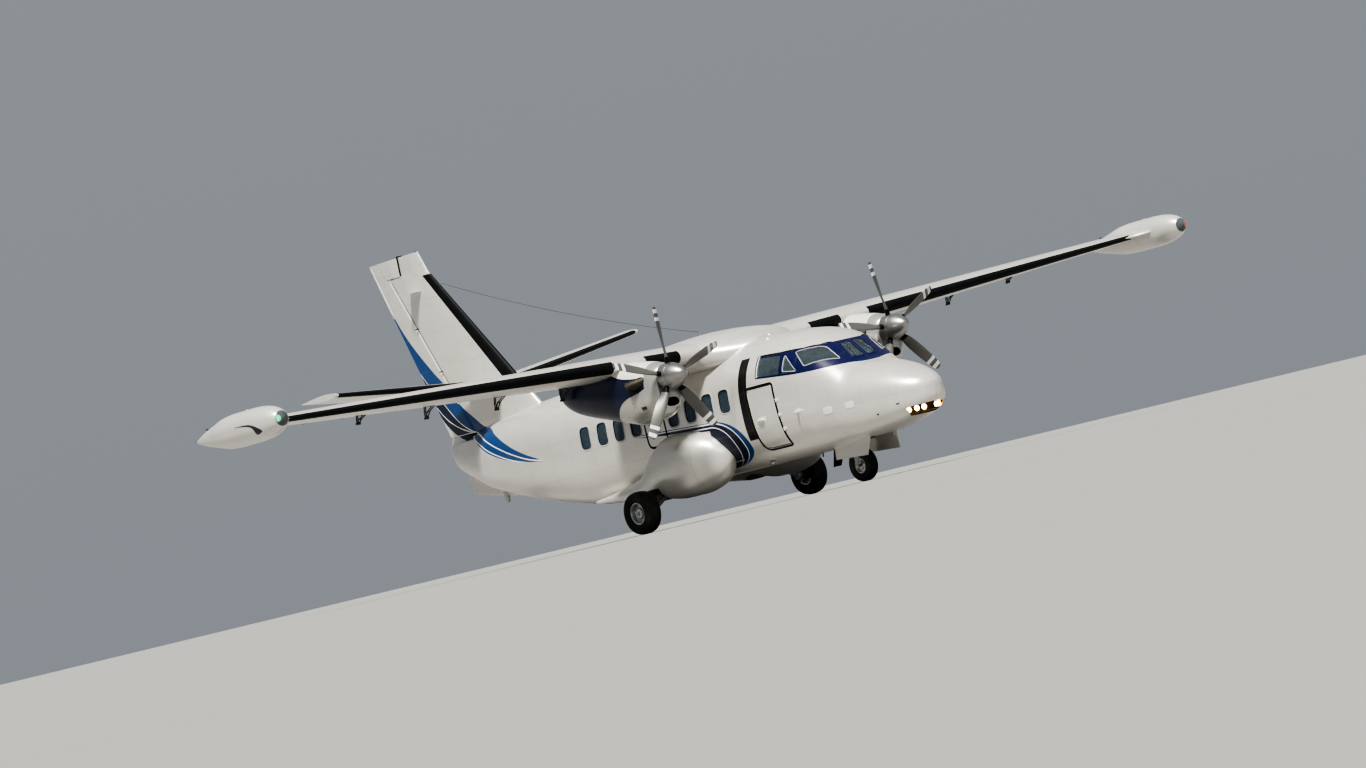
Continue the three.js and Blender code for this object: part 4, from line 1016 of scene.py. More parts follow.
# A point of a panel, mixed from its root and tip rows
def placeOn(panel, span, back, up, side):
    root, tip = panel["root"], panel["tip"]
    t = (span - root["span"]) / (tip["span"] - root["span"])
    ends = []
    for row in (root, tip):
        turn = math.radians(row["twist"])
        along, square = back(row), up(row)
        ends.append((row["lead"] + along * math.cos(turn) + square * math.sin(turn),
                     row["height"] + square * math.cos(turn) - along * math.sin(turn)))
    aft, rise = mix(ends[0][0], ends[1][0], t), mix(ends[0][1], ends[1][1], t)
    return spot(aft, side * rise, span) if panel.get("upright") else spot(aft, side * span, rise)


def skinAt(panel, share, sign, extra=0.0):
    camber = 4 * panel["camber"] * share * (1 - share)
    return lambda row: row["chord"] * (camber + sign * halfThickness(share, row["thick"])) + sign * extra


def panelPoint(panel, span, share, sign, side, extra=0.0):
    return placeOn(panel, span, lambda row: share * row["chord"], skinAt(panel, share, sign, extra), side)


def panelForm(panel, side, first, last, steps):
    rings = []
    for span in evenly(first, last, steps):
        upper = [panelPoint(panel, span, f, 1, side) for f in reversed(chordSteps)]
        rings.append(upper + [panelPoint(panel, span, f, -1, side) for f in chordSteps[1:]])
    return loft(rings)


def roundHinge(panel, span, side, grow, degrees):
    hinge = panel["hinge"]
    turn = math.radians(degrees)

    def radius(row):
        return row["chord"] * halfThickness(hinge, row["thick"]) + grow

    return placeOn(panel, span, lambda row: hinge * row["chord"] - radius(row) * math.sin(turn),
                   lambda row: skinAt(panel, hinge, 0)(row) + radius(row) * math.cos(turn), side)


def controlForm(panel, spans, side, stations=8):
    shares = 9
    tail = [mix(1.0, panel["hinge"], i / shares) for i in range(shares)]
    rings = []
    for span in evenly(spans["from"], spans["to"], stations):
        ring = [panelPoint(panel, span, f, 1, side) for f in tail]
        ring += [roundHinge(panel, span, side, 0, angle) for angle in evenly(0, 180, 14)]
        rings.append(ring + [panelPoint(panel, span, f, -1, side) for f in reversed(tail)])
    return loft(rings)


# The room that a moving part needs in the panel ahead of it
def controlRoom(panel, spans, side, reach=None):
    first, last = spans["up"] + hingeFit["margin"], 180 - spans["down"] - hingeFit["margin"]
    lip = hingeFit["lip"]
    rings = []
    for span in reach or (spans["from"] - spans["side"], spans["to"] + spans["side"]):
        above, below = [placeOn(panel, span, lambda row: row["chord"] + hingeFit["behind"],
                                skinAt(panel, panel["hinge"], sign, lip), side) for sign in (1, -1)]
        arc = [roundHinge(panel, span, side, hingeFit["gap"], angle) for angle in evenly(first, last, 16)]
        rings.append([above, roundHinge(panel, span, side, lip, first), *arc,
                      roundHinge(panel, span, side, lip, last), below])
    return loft(rings, 1)


# An ice boot round a leading edge, back to a share of the chord above and below
def iceBoot(panel, spans, upper, lower, side):
    shares = [s for s in chordSteps if 0 < s < 1]
    outer = [(f, 1) for f in reversed([s for s in shares if s < upper] + [upper])]
    outer += [(0.0, 1)] + [(f, -1) for f in [s for s in shares if s < lower] + [lower]]
    rings = []
    for span in evenly(*spans, 12):
        lines = []
        for depth in bootFit["proud"], bootFit["sunk"]:
            line = []
            for k, (f, sign) in enumerate(outer):
                rise = min(depth, 0.0) if k in (0, len(outer) - 1) else depth
                line.append(panelPoint(panel, span, f, sign, side, rise) if f else
                            placeOn(panel, span, lambda row: -rise, lambda row: 0, side))
            lines.append(line)
        rings.append(lines[0] + lines[1][-2:0:-1])
    return loft(rings)


for tag, side in sides.items():
    rooms = [[controlRoom(wing, controls[name], side)] for name in ("flap_inner", "flap_outer", "aileron")]
    cutSkin("wing_" + tag + "_skin", panelForm(wing, side, 0.95, 9.62, 18), [wingPaint, darkMetal], rooms,
            ("wing_" + tag,))
    newPiece("wing_boot_" + tag,
             [iceBoot(wing, spans, 0.030, 0.056, side) for spans in ((1.42, 2.12), (2.77, 9.42))],
             bootRubber)
    for name, joint in (("flap_inner", "flaps_" + tag), ("flap_outer", "flaps_" + tag),
                        ("aileron", "aileron_" + tag + "_body")):
        newPiece(name + "_" + tag + "_skin", [controlForm(wing, controls[name], side)], wingPaint, joint,
                 (name + "_" + tag,))
print("wings made")

fairing = {
    # aft, top, half width
    "rows": [(3.760, 2.735, 0.420), (4.100, 2.830, 0.800), (4.500, 2.950, 1.060), (5.200, 3.010, 1.085),
             (6.100, 2.975, 1.085), (6.950, 2.850, 1.000), (7.550, 2.745, 0.560)],
    "bottom": 2.300, "around": 72,
}
fairingAt = smoothTable(fairing["rows"])
rings = []
for a in evenly(3.760, 7.550, 48):
    top, half = fairingAt(a)
    rings.append(ovalRing(a, 0, top, fairing["bottom"], half, count=fairing["around"]))
cutSkin("wing_fairing_skin", loft(rings), [bodyPaint], [[bodyForCuts]], ("wing_fairing",))

tank = {
    # aft, radius
    "rows": [(3.800, 0.0), (3.812, 0.045), (3.835, 0.090), (3.920, 0.160), (4.080, 0.222), (4.300, 0.258),
             (4.600, 0.270), (5.050, 0.270), (5.350, 0.252), (5.660, 0.190), (5.970, 0.122), (6.170, 0.066),
             (6.320, 0.018), (6.350, 0.0)],
    "y": 9.720, "z": 3.070, "start": 3.8, "glass": 3.865, "end": 6.350,
    # share of the chord and of the thickness, from the leading edge over the top
    "cuff": [(0.0, 0.0), (0.03, 0.5), (0.1, 0.85), (0.3, 1.0), (0.7, 0.8)],
}


# A turned shape's rows of distance and radius, close together where it is blunt
def bluntProfile(rows, start, first, last, count):
    radiusAt = bluntTable(rows, start)
    return [(-(start + s * s), radiusAt(s)[0]) for s in
            evenly(math.sqrt(first - start), math.sqrt(last - start), count)]


for tag, side in sides.items():
    centre = (0, side * tank["y"], tank["z"])
    for name, ends, steps, count, finish, stands, slot in (
            ("tip_tank_" + tag + "_skin", ("glass", "end"), 60, 64, tankPaint, ("tip_tank_" + tag,),
             "white_paint"),
            ("tank_nose_glass_" + tag, ("start", "glass"), 14, 48, tankGlass, (), "glass")):
        profile = bluntProfile(tank["rows"], tank["start"], tank[ends[0]], tank[ends[1]], steps)
        newPiece(name, [turned(profile, centre, (1, 0, 0), count)], finish, stands=stands)
    rings = []
    upper = [(f, s, 1) for f, s in tank["cuff"]]
    lower = [(f, s, -1) for f, s in reversed(tank["cuff"][1:])]
    for span, ahead in ((9.05, 0.0), (9.15, 0.03), (9.25, 0.10), (9.35, 0.19), (9.45, 0.26), (9.56, 0.29)):
        lead, tail = [panelPoint(wing, span, f, 0, side) for f in (0.0, 0.30)]
        half = 0.012 + 0.035 * min(ahead / 0.1, 1)
        rings.append([Vector((mix(lead.x + ahead, tail.x, f), lead.y,
                              mix(lead.z, tail.z, f) + sign * half * s))
                      for f, s, sign in upper + [(1, 0, 1)] + lower])
    newPiece("tip_cuff_" + tag, [loft(rings)], wingPaint)
print("fairing and tanks made")

# Nacelles
nacelle = {
    # aft, top, bottom, half width
    "rows": [(3.622, 2.625, 1.880, 0.240), (3.720, 2.655, 1.800, 0.300), (3.950, 2.710, 1.735, 0.350),
             (4.290, 2.760, 1.720, 0.372), (4.750, 2.800, 1.820, 0.372), (5.220, 2.800, 1.950, 0.360),
             (5.570, 2.800, 2.040, 0.330), (6.080, 2.790, 2.220, 0.260), (6.300, 2.780, 2.400, 0.190),
             (6.370, 2.770, 2.560, 0.130)],
    "start": 3.6, "y": 2.4075, "z": 2.400, "around": 72,
    "lip": ((0.975, 0.010), (0.94, 0.013), (0.88, 0.010), (0.86, 0.0)),
    "silverEdge": [(3.6, 2.55), (3.84, 2.30), (4.40, 2.17), (4.71, 1.94), (4.95, 1.70), (6.4, 1.5)],
    "whiteEdge": [(3.6, 2.46), (4.25, 2.52), (5.20, 2.77), (6.4, 2.80)],
    # vent: corners as aft and height of a dark plate on the cowl side, painted shade for a vent hole
    "vent": ((3.90, 1.955), (4.02, 1.955), (4.02, 2.015), (3.90, 2.015)), "ventShadeOut": 0.34,
}
nacelleAt = bluntTable(nacelle["rows"], nacelle["start"])
intake = {"height": 1.995, "half": (0.135, 0.072), "rings": ((3.5, 1.06), (3.66, 1.0), (3.90, 0.82))}
exhaust = {"radius": 0.088, "around": 32,
           "mouth": ((0.90, 0.0), (0.86, -0.004), (0.84, -0.03), (0.80, -0.12)),
           "path": [(3.86, 0.22, 2.425), (3.96, 0.33, 2.405), (4.04, 0.400, 2.388), (4.12, 0.455, 2.370)]}

nacellePaint, n, inputs = newMaterial(
    "nacelle_paint", Coat_Weight=0.2, Coat_Roughness=0.06, Specular_IOR_Level=0.3)
place = n.split(n.where())
aft, height = n.minus(noseX, place[0]), place[2]
silver = n.most(n.above(n.edge(aft, nacelle["silverEdge"]), height), n.above(3.84, aft))
tone = n.blend(n.above(height, n.edge(aft, nacelle["whiteEdge"])), (*paint["navy"], 1), (*paint["pearl"], 1))
tone = n.blend(silver, tone, (0.50, 0.49, 0.46, 1))
joint = n.place(seams, {"Pitch X": 0.47, "Pitch Y": 10.0, "Pitch Z": 10.0})
tone = n.blend(n.times(joint["Line"], 0.3), tone, (0.05, 0.05, 0.05, 1))
addWear(n, inputs, Color=tone, Dirt=(0.26, 0.23, 0.19, 1), Dirt_Amount=n.ramp(silver, 0.0, 1.0, 0.04, 0.12),
        Scale=1.6, Streak=0.3, Roughness=0.28, Roughness_Spread=0.1, Grain_Scale=700.0, Grain_Depth=0.000006)
n.feed(inputs["Metallic"], n.ramp(silver, 0.0, 1.0, 0.0, 0.6))

for tag, side in sides.items():
    y = side * nacelle["y"]
    rings = []
    for s in evenly(math.sqrt(0.022), math.sqrt(2.77), 64):
        top, bottom, half = nacelleAt(s)
        rings.append(ovalRing(nacelle["start"] + s * s, y, top, bottom, half, count=nacelle["around"]))
    first = rings[0]
    middle = Vector((first[0].x, y, nacelle["z"]))
    for share, shift in nacelle["lip"]:
        rings.insert(0, shrunk(first, share, Vector((shift, 0, 0)), middle))
    cowlForm = loft(rings)
    wide, tall = intake["half"]
    mouth = loft([ovalRing(a, y, intake["height"] + tall * k, intake["height"] - tall * k, wide * k, count=32)
                  for a, k in intake["rings"]], 1)
    cutSkin("nacelle_" + tag + "_skin", cowlForm, [nacellePaint, darkMetal], [[mouth]],
            ("nacelle_" + tag, "engine_" + tag))
    cowlGuide, stubs, ventShades = guideOf(cowlForm), [], []
    for out in (1, -1):
        path = [spot(a, y + out * w, z) for a, w, z in exhaust["path"]]
        way = (path[-1] - path[-2]).normalized()
        around = exhaust["around"]
        points = bar(path, [exhaust["radius"] * k for k in (0.96, 1.0, 1.0, 0.98)], around)["points"]
        rings = [points[i * around:(i + 1) * around] for i in range(4)]
        rings += [shrunk(rings[3], share, way * back, path[-1]) for share, back in exhaust["mouth"]]
        stubs.append(loft(rings))
        # A dark plate stands for the vent hole: painted shade of the hole's inside
        rim = [spot(a, y + out * nacelle["ventShadeOut"], z) for a, z in nacelle["vent"]]
        ventShades.append(skinPlate(cowlGuide, rim, -0.003, 0.006, 6))
    newPiece("exhaust_stubs_" + tag, stubs, scorched, sharp=50)
    newPiece("cowl_vent_shades_" + tag, ventShades, darkMetal)
print("nacelles made")

# Propellers, with the blades where the photo catches them
propeller = {
    # radius, chord, thickness, pitch
    "rows": [(0.190, 0.084, 0.084, 62), (0.250, 0.092, 0.084, 58), (0.330, 0.150, 0.062, 52),
             (0.560, 0.185, 0.034, 40), (0.850, 0.175, 0.020, 30), (1.060, 0.140, 0.012, 25),
             (1.128, 0.112, 0.009, 23.5), (1.150, 0.070, 0.006, 23)],
    "aft": 3.516, "blades": 5, "turn": {"port": 8, "starboard": 0},
    "bands": [(0.915, 0.975), (1.045, 1.11)], "cuff": 0.30,
    "spinner": [(3.120, 0.0), (3.123, 0.020), (3.132, 0.045), (3.175, 0.095), (3.250, 0.147), (3.335, 0.186),
                (3.412, 0.208)],
    "hub": [(3.420, 0.19), (3.420, 0.209), (3.428, 0.214), (3.60, 0.214), (3.608, 0.208), (3.608, 0.05)],
}
bladeAt = smoothTable(propeller["rows"])
bladeShape = [(f - 0.5, 0.42 * halfThickness(f, 1.0) / halfThickness(0.3, 1.0))
              for f in (1.0, 0.85, 0.68, 0.5, 0.34, 0.2, 0.1, 0.04, 0.01)]
bladeSection = [(a, 1.35 * b) for a, b in bladeShape] + [(-0.5, 0.0)]
bladeSection += [(a, -0.75 * b) for a, b in reversed(bladeShape)]
bladeRadii = sorted(evenly(0.19, 1.15, 40) + [edge for band in propeller["bands"] for edge in band])
rings = []
for radius in bladeRadii:
    chord, thick, pitch = bladeAt(radius)
    turn = math.radians(pitch)
    roundness = min(max((0.33 - radius) / 0.10, 0.0), 1.0)
    ring = []
    for c, t in bladeSection:
        angle = math.atan2(t, c)
        along = mix(c, 0.5 * math.cos(angle), roundness) * chord
        across = mix(t, 0.5 * math.sin(angle), roundness) * thick
        ring.append(Vector((-along * math.sin(turn) + across * math.cos(turn),
                            along * math.cos(turn) + across * math.sin(turn), radius)))
    rings.append(ring)
bladeForm = loft(rings)


# The material of a face: grey blade, white band or black cuff
def bladeMark(face):
    ring = min(face) // len(bladeSection)
    inner, outer = bladeRadii[ring], bladeRadii[min(ring + 1, len(bladeRadii) - 1)]
    banded = any(low - 1e-6 <= inner and outer <= high + 1e-6 for low, high in propeller["bands"])
    if len(face) == 4 and banded:
        return 1
    return 2 if inner < propeller["cuff"] else 0


bladeFaces = sorted(bladeForm["faces"], key=bladeMark)
bladeMarks = [bladeMark(face) for face in bladeFaces]
for tag, side in sides.items():
    hub = spot(propeller["aft"], side * nacelle["y"], nacelle["z"])
    points, faces = [], []
    for i in range(propeller["blades"]):
        matrix = Matrix.Translation(hub) @ Matrix.Rotation(
            math.radians(propeller["turn"][tag] + 360 / propeller["blades"] * i), 4, "X")
        shift = len(points)
        points += [matrix @ p for p in bladeForm["points"]]
        faces += [tuple(k + shift for k in face) for face in bladeFaces]
    joint = "propeller_" + tag + "_body"
    newPiece("propeller_blades_" + tag, [form(points, faces, bladeMarks * propeller["blades"])],
             [bladePaint, bladeBand, bootRubber], joint, ("propeller_" + tag,))
    centre = (0, hub.y, hub.z)
    newPiece("propeller_hub_" + tag, [turned([(-a, r) for a, r in propeller["hub"]], centre, (1, 0, 0), 72)],
             spinnerMetal, joint)
    profile = bluntProfile(propeller["spinner"], 3.12, 3.12, 3.412, 26)
    newPiece("spinner_" + tag + "_skin", [turned(profile, centre, (1, 0, 0), 72)], spinnerMetal, joint,
             ("spinner_" + tag,))
print("propellers made")

# Fin, rudder and tailplane
finCap = {"bottom": 5.440, "top": 5.829, "rear": 13.468, "lead": (12.686, 12.860), "half": (0.076, 0.058)}
horn = {"front": 13.505, "bottom": 5.502, "half": (0.062, 0.052), "overlap": 0.06}


def slimRing(front, rear, half, height, blunt=0.8):
    upper = []
    for t in evenly(0, 1, 14):
        f = t ** 1.6
        shape = math.sqrt(min(f / 0.4, 1)) if f < 0.4 else mix(1.0, blunt, (f - 0.4) / 0.6)
        upper.append((mix(front, rear, f), half * shape))
    return [spot(a, y, height) for a, y in upper] + [spot(a, -y, height) for a, y in reversed(upper[1:])]


def capForm(lead, rearAt, half, heights):
    rings = []
    for t in evenly(0, 1, 6):
        z = mix(*heights, t)
        rings.append(slimRing(mix(*lead, t), rearAt(z), mix(*half, t), z))
    return loft(rings)


def hornRear(z):
    hinge = placeOn(fin, z, lambda row: fin["hinge"] * row["chord"], lambda row: 0, 1)
    return noseX - hinge.x + horn["overlap"]


finForm = panelForm(fin, 1, 2.30, 5.47, 10)
rudderForm = controlForm(fin, controls["rudder"], 1, 10)
cutSkin("fin_skin", finForm, [bodyPaint, darkMetal], [
    [controlRoom(fin, controls["rudder"], 1, (2.30, 5.53))], [loft(bodyRings(9.6, 12.88, 20, 0.0005, 96))]],
    ("fin",))
newPiece("fin_cap", [capForm(finCap["lead"], lambda z: finCap["rear"], finCap["half"],
                             (finCap["bottom"], finCap["top"]))], bodyPaint)
newPiece("fin_boot", [iceBoot(fin, (3.00, 5.39), 0.105, 0.105, 1)], bootRubber)
newPiece("rudder_skin", [rudderForm, capForm((horn["front"], horn["front"]), hornRear, horn["half"],
                                             (horn["bottom"], finCap["top"]))], bodyPaint, "rudder_body",
                                             ("rudder",))

# Strips, seals, a black slab of painted shade under the fin cap, and small blades on the fin and rudder
finTrim = {
    # metres behind the hinge, or for the tab behind the rear edge, then the lower and upper end and the width
    "strip": (0.026, 3.02, 5.43, 0.026), "seal": (-0.040, 3.02, 5.43, 0.012),
    "tab": (-0.030, 4.88, 5.78, 0.034),
    "blade": {"height": 5.14, "root": (12.88, 13.27), "tip": (13.08, 13.30), "start": 0.03, "reach": 0.34,
              "thick": 0.014},
    "fittings": (3.65, 4.50), "fittingAhead": 0.055,
    # gap: a black slab set in the notch between the fin cap and the rudder horn, as painted shade
    "gap": {"front": 13.425, "rear": 13.478, "half": (0.060, 0.047), "heights": (5.50, 5.855), "flare": 1.12},
    "lamp": (12.93, 0, 5.822),
    # aft, top, half width of the fairing over the tail cone's end
    "fillet": [(12.30, 2.400, 0.060), (12.36, 2.448, 0.090), (12.55, 2.456, 0.088), (12.80, 2.456, 0.074),
               (13.00, 2.456, 0.056), (13.12, 2.452, 0.040), (13.16, 2.420, 0.022)],
}
finGuide, rudderGuide = guideOf(finForm), guideOf(rudderForm)


# A point of the fin's side at a height, some metres behind a share of its chord
def finPoint(z, share, behind, sign):
    root, tip = fin["root"], fin["tip"]
    chord = mix(root["chord"], tip["chord"], (z - root["span"]) / (tip["span"] - root["span"]))
    return panelPoint(fin, z, share + behind / chord, sign, 1)


def finStrip(guide, trim, share, sign):
    behind, first, last, width = trim
    line = [finPoint(z, share, behind, sign) for z in evenly(first, last, 12)]
    return ribbon(guide, line, width, closed=False)


strips, tabs, seals, fittings = [], [], [], []
for sign in (1, -1):
    strips.append(finStrip(rudderGuide, finTrim["strip"], fin["hinge"], sign))
    tabs.append(finStrip(rudderGuide, finTrim["tab"], 1, sign))
    seals.append(finStrip(finGuide, finTrim["seal"], fin["hinge"], sign))
    for z in finTrim["fittings"]:
        base = finPoint(z, fin["hinge"], -finTrim["fittingAhead"], sign)
        out = Vector((0, math.copysign(1, base.y), 0))
        fittings.append(bar([base - out * 0.004, base + out * 0.030,
                             base + out * 0.036 - Vector((0.05, 0, 0))],
                            [0.014, 0.013, 0.009], 14))
# Painted shade: a black slab fills the dark notch between the fin cap and the rudder horn
gap, rings = finTrim["gap"], []
for t in evenly(0, 1, 6):
    wide, z = mix(*gap["half"], t), mix(*gap["heights"], t)
    rings.append(spots([(gap["front"], wide * gap["flare"], z), (gap["rear"], wide, z),
                        (gap["rear"], -wide, z),
                        (gap["front"], -wide * gap["flare"], z)]))
seals.append(loft(rings))
fittings.append(turned([(0, 0.016), (0.012, 0.016), (0.024, 0.010), (0.028, 0.002)], finTrim["lamp"],
                       (0, 0, 1), 20))
newPiece("tail_fillet",
         [loft([ovalRing(a, 0, top, 2.20, half, count=40) for a, top, half in finTrim["fillet"]])],
         bodyPaint)
newPiece("rudder_strips", strips + tabs, bladeBand, "rudder_body", sharp=50)
newPiece("fin_seals_and_gap_shade", seals, sealRubber, sharp=50)
newPiece("fin_fittings", fittings, darkMetal)
shapes, blade = [], finTrim["blade"]
for side in sides.values():
    rings = []
    for t in evenly(0, 1, 8):
        front, rear = mix(blade["root"][0], blade["tip"][0], t), mix(blade["root"][1], blade["tip"][1], t)
        half, reach = blade["thick"] / 2 * (1 - 0.5 * t), side * (blade["start"] + t * blade["reach"])
        upper = [(mix(front, rear, f), half * math.sin(math.pi * (0.06 + 0.88 * f)) ** 0.6)
                 for f in evenly(0, 1, 8)]
        rings.append([spot(a, reach, blade["height"] + h) for a, h in upper]
                     + [spot(a, reach, blade["height"] - h) for a, h in reversed(upper)])
    shapes.append(loft(rings))
newPiece("fin_aerials", shapes, platePaint)
for tag, side in sides.items():
    cutSkin("tailplane_" + tag + "_skin", panelForm(tailplane, side, 0.04, 3.368, 8), [wingPaint, darkMetal],
            [[controlRoom(tailplane, controls["elevator"], side, (-0.03, 3.32))]], ("tailplane_" + tag,))
    newPiece("tailplane_boot_" + tag, [iceBoot(tailplane, (0.35, 3.30), 0.07, 0.07, side)], bootRubber)
    newPiece("elevator_" + tag + "_skin", [controlForm(tailplane, controls["elevator"], side)], wingPaint,
             "elevator_" + tag + "_body", ("elevator_" + tag,))
print("tail made")

# Ventral fin under the tail cone, with the lump that guards it on the ground
ventral = {
    # aft, height, half thickness round the outline
    "outline": [(11.100, 1.235, 0.042), (11.280, 1.165, 0.026), (11.420, 1.152, 0.020),
                (12.770, 1.382, 0.020),
                (12.860, 1.480, 0.018), (13.075, 2.190, 0.016), (12.300, 1.900, 0.060),
                (11.500, 1.500, 0.055)],
    "edge": 1.6, "layers": ((-1, 0.0), (-0.6, 0.010), (0.6, 0.010), (1, 0.0)), "lump": (11.940, 0, 1.115),
}
keel = [[spot(a, share * half, z - (grow if z < ventral["edge"] else 0)) for a, z, half in ventral["outline"]]
        for share, grow in ventral["layers"]]
newPiece("ventral_fin", [loft(keel)], bodyPaint, sharp=50)
newPiece("tail_bumper", [turned([(0, 0.012), (0.006, 0.026), (0.02, 0.034), (0.08, 0.046), (0.15, 0.056),
                                 (0.215, 0.060)], ventral["lump"], (0, 0, 1), 40)], gearSteel)

# Cockpit glass, frames and seals
glazing = {
    "frame": 0.015, "post": 0.060, "seal": 0.022,
    "vent": [(2.520, 0.775, 2.285), (2.535, 0.90, 2.035), (2.215, 0.885, 1.990)],
    "frontPost": [(2.590, 0.80, 2.325), (2.585, 0.86, 2.18), (2.590, 0.93, 2.02)],
    "rearPost": [(3.135, 0.80, 2.372), (3.140, 0.95, 2.20), (3.142, 0.97, 2.050)],
    "maskRear": [(3.168, 2.382), (3.170, 2.30), (3.170, 2.20), (3.170, 2.10), (3.168, 2.036)],
    "wiper": [(1.520, 0.20, 2.02), (1.60, 0.17, 2.10), (1.72, 0.12, 2.21)],
}
for tag, side in sides.items():
    for name, pane in panes.items():
        sheetForm = skinPlate(bodyGuide, paneCorners(pane, side, 0.022), 0.010, 0.008, 14)
        newPiece(name + "_" + tag + "_glass", [sheetForm], screenGlassPaintedSky, stands=(name + "_" + tag,))
    newPiece("side_frames_" + tag, [
        ribbon(bodyGuide, paneOutline(panes["quarter_window"], side, 0.006), glazing["frame"], 0.005),
        ribbon(bodyGuide, rounded(spots(glazing["vent"], side), 0.03, 4), glazing["frame"], 0.006,
               sink=0.012)],
        framePaint, sharp=50)
    newPiece("screen_frame_" + tag, [
        ribbon(bodyGuide, paneOutline(panes["windscreen"], side, 0.010), 0.022, 0.004),
        ribbon(bodyGuide, paneOutline(panes["side_window"], side, 0.006), 0.016, 0.004),
        ribbon(bodyGuide, spots(glazing["frontPost"], side), glazing["post"], 0.006, closed=False,
               sink=0.012)],
        maskPaint, sharp=50)
    newPiece("rear_post_" + tag,
             [ribbon(bodyGuide, spots(glazing["rearPost"], side), 0.030, 0.004, closed=False)],
             bladeBand, sharp=50)
    edge = onSkin(maskTop[1:-1] + glazing["maskRear"], side)
    newPiece("mask_seal_" + tag, [ribbon(bodyGuide, edge, glazing["seal"], 0.004, closed=False)], sealRubber,
             sharp=50)
    wiper = [nearestOn(bodyGuide, p) + Vector((0.012, 0, 0.012)) for p in spots(glazing["wiper"], side)]
    newPiece("wiper_" + tag, [
        bar(spaced(wiper, 0.03), 0.006, 10),
        pin(wiper[0] - Vector((0, 0, 0.03)), wiper[0] + Vector((0, 0, 0.01)), 0.014),
        bar([wiper[2] + Vector((0.07, side * 0.05, -0.08)), wiper[2] - Vector((0.05, side * 0.03, -0.05))],
            0.007, 8)],
        darkMetal)

# Flight deck behind the glass: padded seats, panel with dials, wheels and coaming
deck = {
    "seatY": 0.400, "crown": 0.30, "pull": 0.06, "panel": 2.012, "wheel": 2.20,
    # middle as aft and height, half length, half width, half thickness and channels
    "cushion": (2.700, 1.261, 0.195, 0.205, 0.048, (-0.42, 0.42)),
    "back": (2.920, 1.6035, 0.2915, 0.205, 0.046, (-0.5, 0.0, 0.5)),
    "head": (2.914, 1.969, 0.068, 0.110, 0.034, ()),
    # height, number of dials
    "dials": ((1.80, 5), (1.675, 5), (1.55, 4)),
    "grip": ((-0.15, 1.50), (-0.16, 1.42), (-0.10, 1.37), (0.0, 1.365), (0.10, 1.37), (0.16, 1.42),
             (0.15, 1.50)),
    "coaming": ((1.84, -0.012), (1.84, 0.004), (1.95, 0.028), (2.03, 0.022), (2.06, 0.0), (2.06, -0.02),
                (2.04, -0.02), (1.95, -0.002)),
}


# A crowned pad with pulled-in sides and sewn channels, with its half sizes as vectors
def paddedPiece(name, centre, wide, deep, thick, channels, steps=30, stands=()):
    centre, wide, deep, thick = placeOf(centre), Vector(wide), Vector(deep), Vector(thick)
    layers = [[], []]
    for u in evenly(-1, 1, steps):
        for v in evenly(-1, 1, steps):
            puff = (1 - abs(u) ** 6) ** 0.5 * (1 - abs(v) ** 6) ** 0.5
            for channel in channels:
                puff *= 1 - 0.45 * math.exp(-((u - channel) / 0.05) ** 2)
            shrinkU = 1 - deck["pull"] * (1 - v * v) * abs(u) ** 3
            shrinkV = 1 - deck["pull"] * (1 - u * u) * abs(v) ** 3
            crown = 1 - deck["crown"] * (0.5 * u * u + 0.5 * v * v)
            flat = centre + wide * u * shrinkU + deep * v * shrinkV
            for layer, sign in zip(layers, (1, -1)):
                layer.append(flat + thick * (sign * max(puff * crown, 0.02)))
    piece = newPiece(name, [sheet(layers, steps)], seatFinish, stands=stands, sharp=180)


for tag, side in sides.items():
    y = side * deck["seatY"]
    seat = ("pilot_seat_" + tag,)
    aft, z, long, half, thick, channels = deck["cushion"]
    paddedPiece("seat_cushion_" + tag, (aft, y, z), (0, half, 0), (long, 0, 0), (0, 0, thick), channels,
                stands=seat)
    for name, rest in (("seat_back_", deck["back"]), ("head_rest_", deck["head"])):
        aft, z, long, half, thick, channels = rest
        paddedPiece(name + tag, (aft, y, z), (0, 0, long), (0, half, 0), (thick, 0, 0), channels, stands=seat)
    newPiece("seat_frame_" + tag, [
        softBox((2.905, y - 0.15, 0.881), (2.860, y + 0.15, 1.200), 0.006),
        softBox((2.560, y - 0.15, 0.881), (2.520, y + 0.15, 1.200), 0.006),
        softBox((2.930, y - 0.19, 1.192), (2.515, y + 0.19, 1.212), 0.005),
        *[bar([(2.93, y + w, 0.895), (2.50, y + w, 0.895)], 0.012, 10) for w in (-0.13, 0.13)],
        *[bar([(2.945, y + w, 1.88), (2.930, y + w, 1.95)], 0.008, 10) for w in (-0.06, 0.06)]],
        gearSteel)
    faces, rims = [], []
    for row, (z, count) in enumerate(deck["dials"]):
        for k in range(count):
            r = 0.040 if (row + k) % 3 else 0.032
            centre = spot(deck["panel"], side * (0.12 + 0.105 * k), z)
            faces.append(turned([(0.001, r - 0.004), (0.003, r - 0.005), (0.003, 0.004)], centre, (-1, 0, 0),
                                24))
            rims.append(turned([(0.0, r - 0.004), (0.0, r), (0.007, r), (0.009, r - 0.002),
                                (0.008, r - 0.005),
                                (0.002, r - 0.006)], centre, (-1, 0, 0), 24))
            rims.append(bar([centre + Vector((-0.005, -0.004, -0.004)),
                             centre + Vector((-0.005, r * 0.5, r * 0.55))], 0.0015, 6))
    newPiece("dials_" + tag, faces, dialFace)
    newPiece("dial_rims_" + tag, rims, panelPlastic)
    grip = [spot(deck["wheel"], y + side * w, z) for w, z in deck["grip"]]
    newPiece("control_wheel_" + tag, [
        bar(spaced(grip, 0.02), 0.015, 12), bar([(deck["wheel"], y, 1.37), (2.02, y, 1.38)], 0.020, 16),
        softBox((2.225, y - 0.04, 1.345), (2.185, y + 0.04, 1.405), 0.012)], panelPlastic)
coaming = [[spot(a, w, 1.905 + h - 0.10 * (abs(w) / 0.62) ** 2.5) for a, h in deck["coaming"]]
           for w in evenly(-0.60, 0.60, 24)]
newPiece("coaming", [loft(coaming)], panelPlastic)
throttles = []
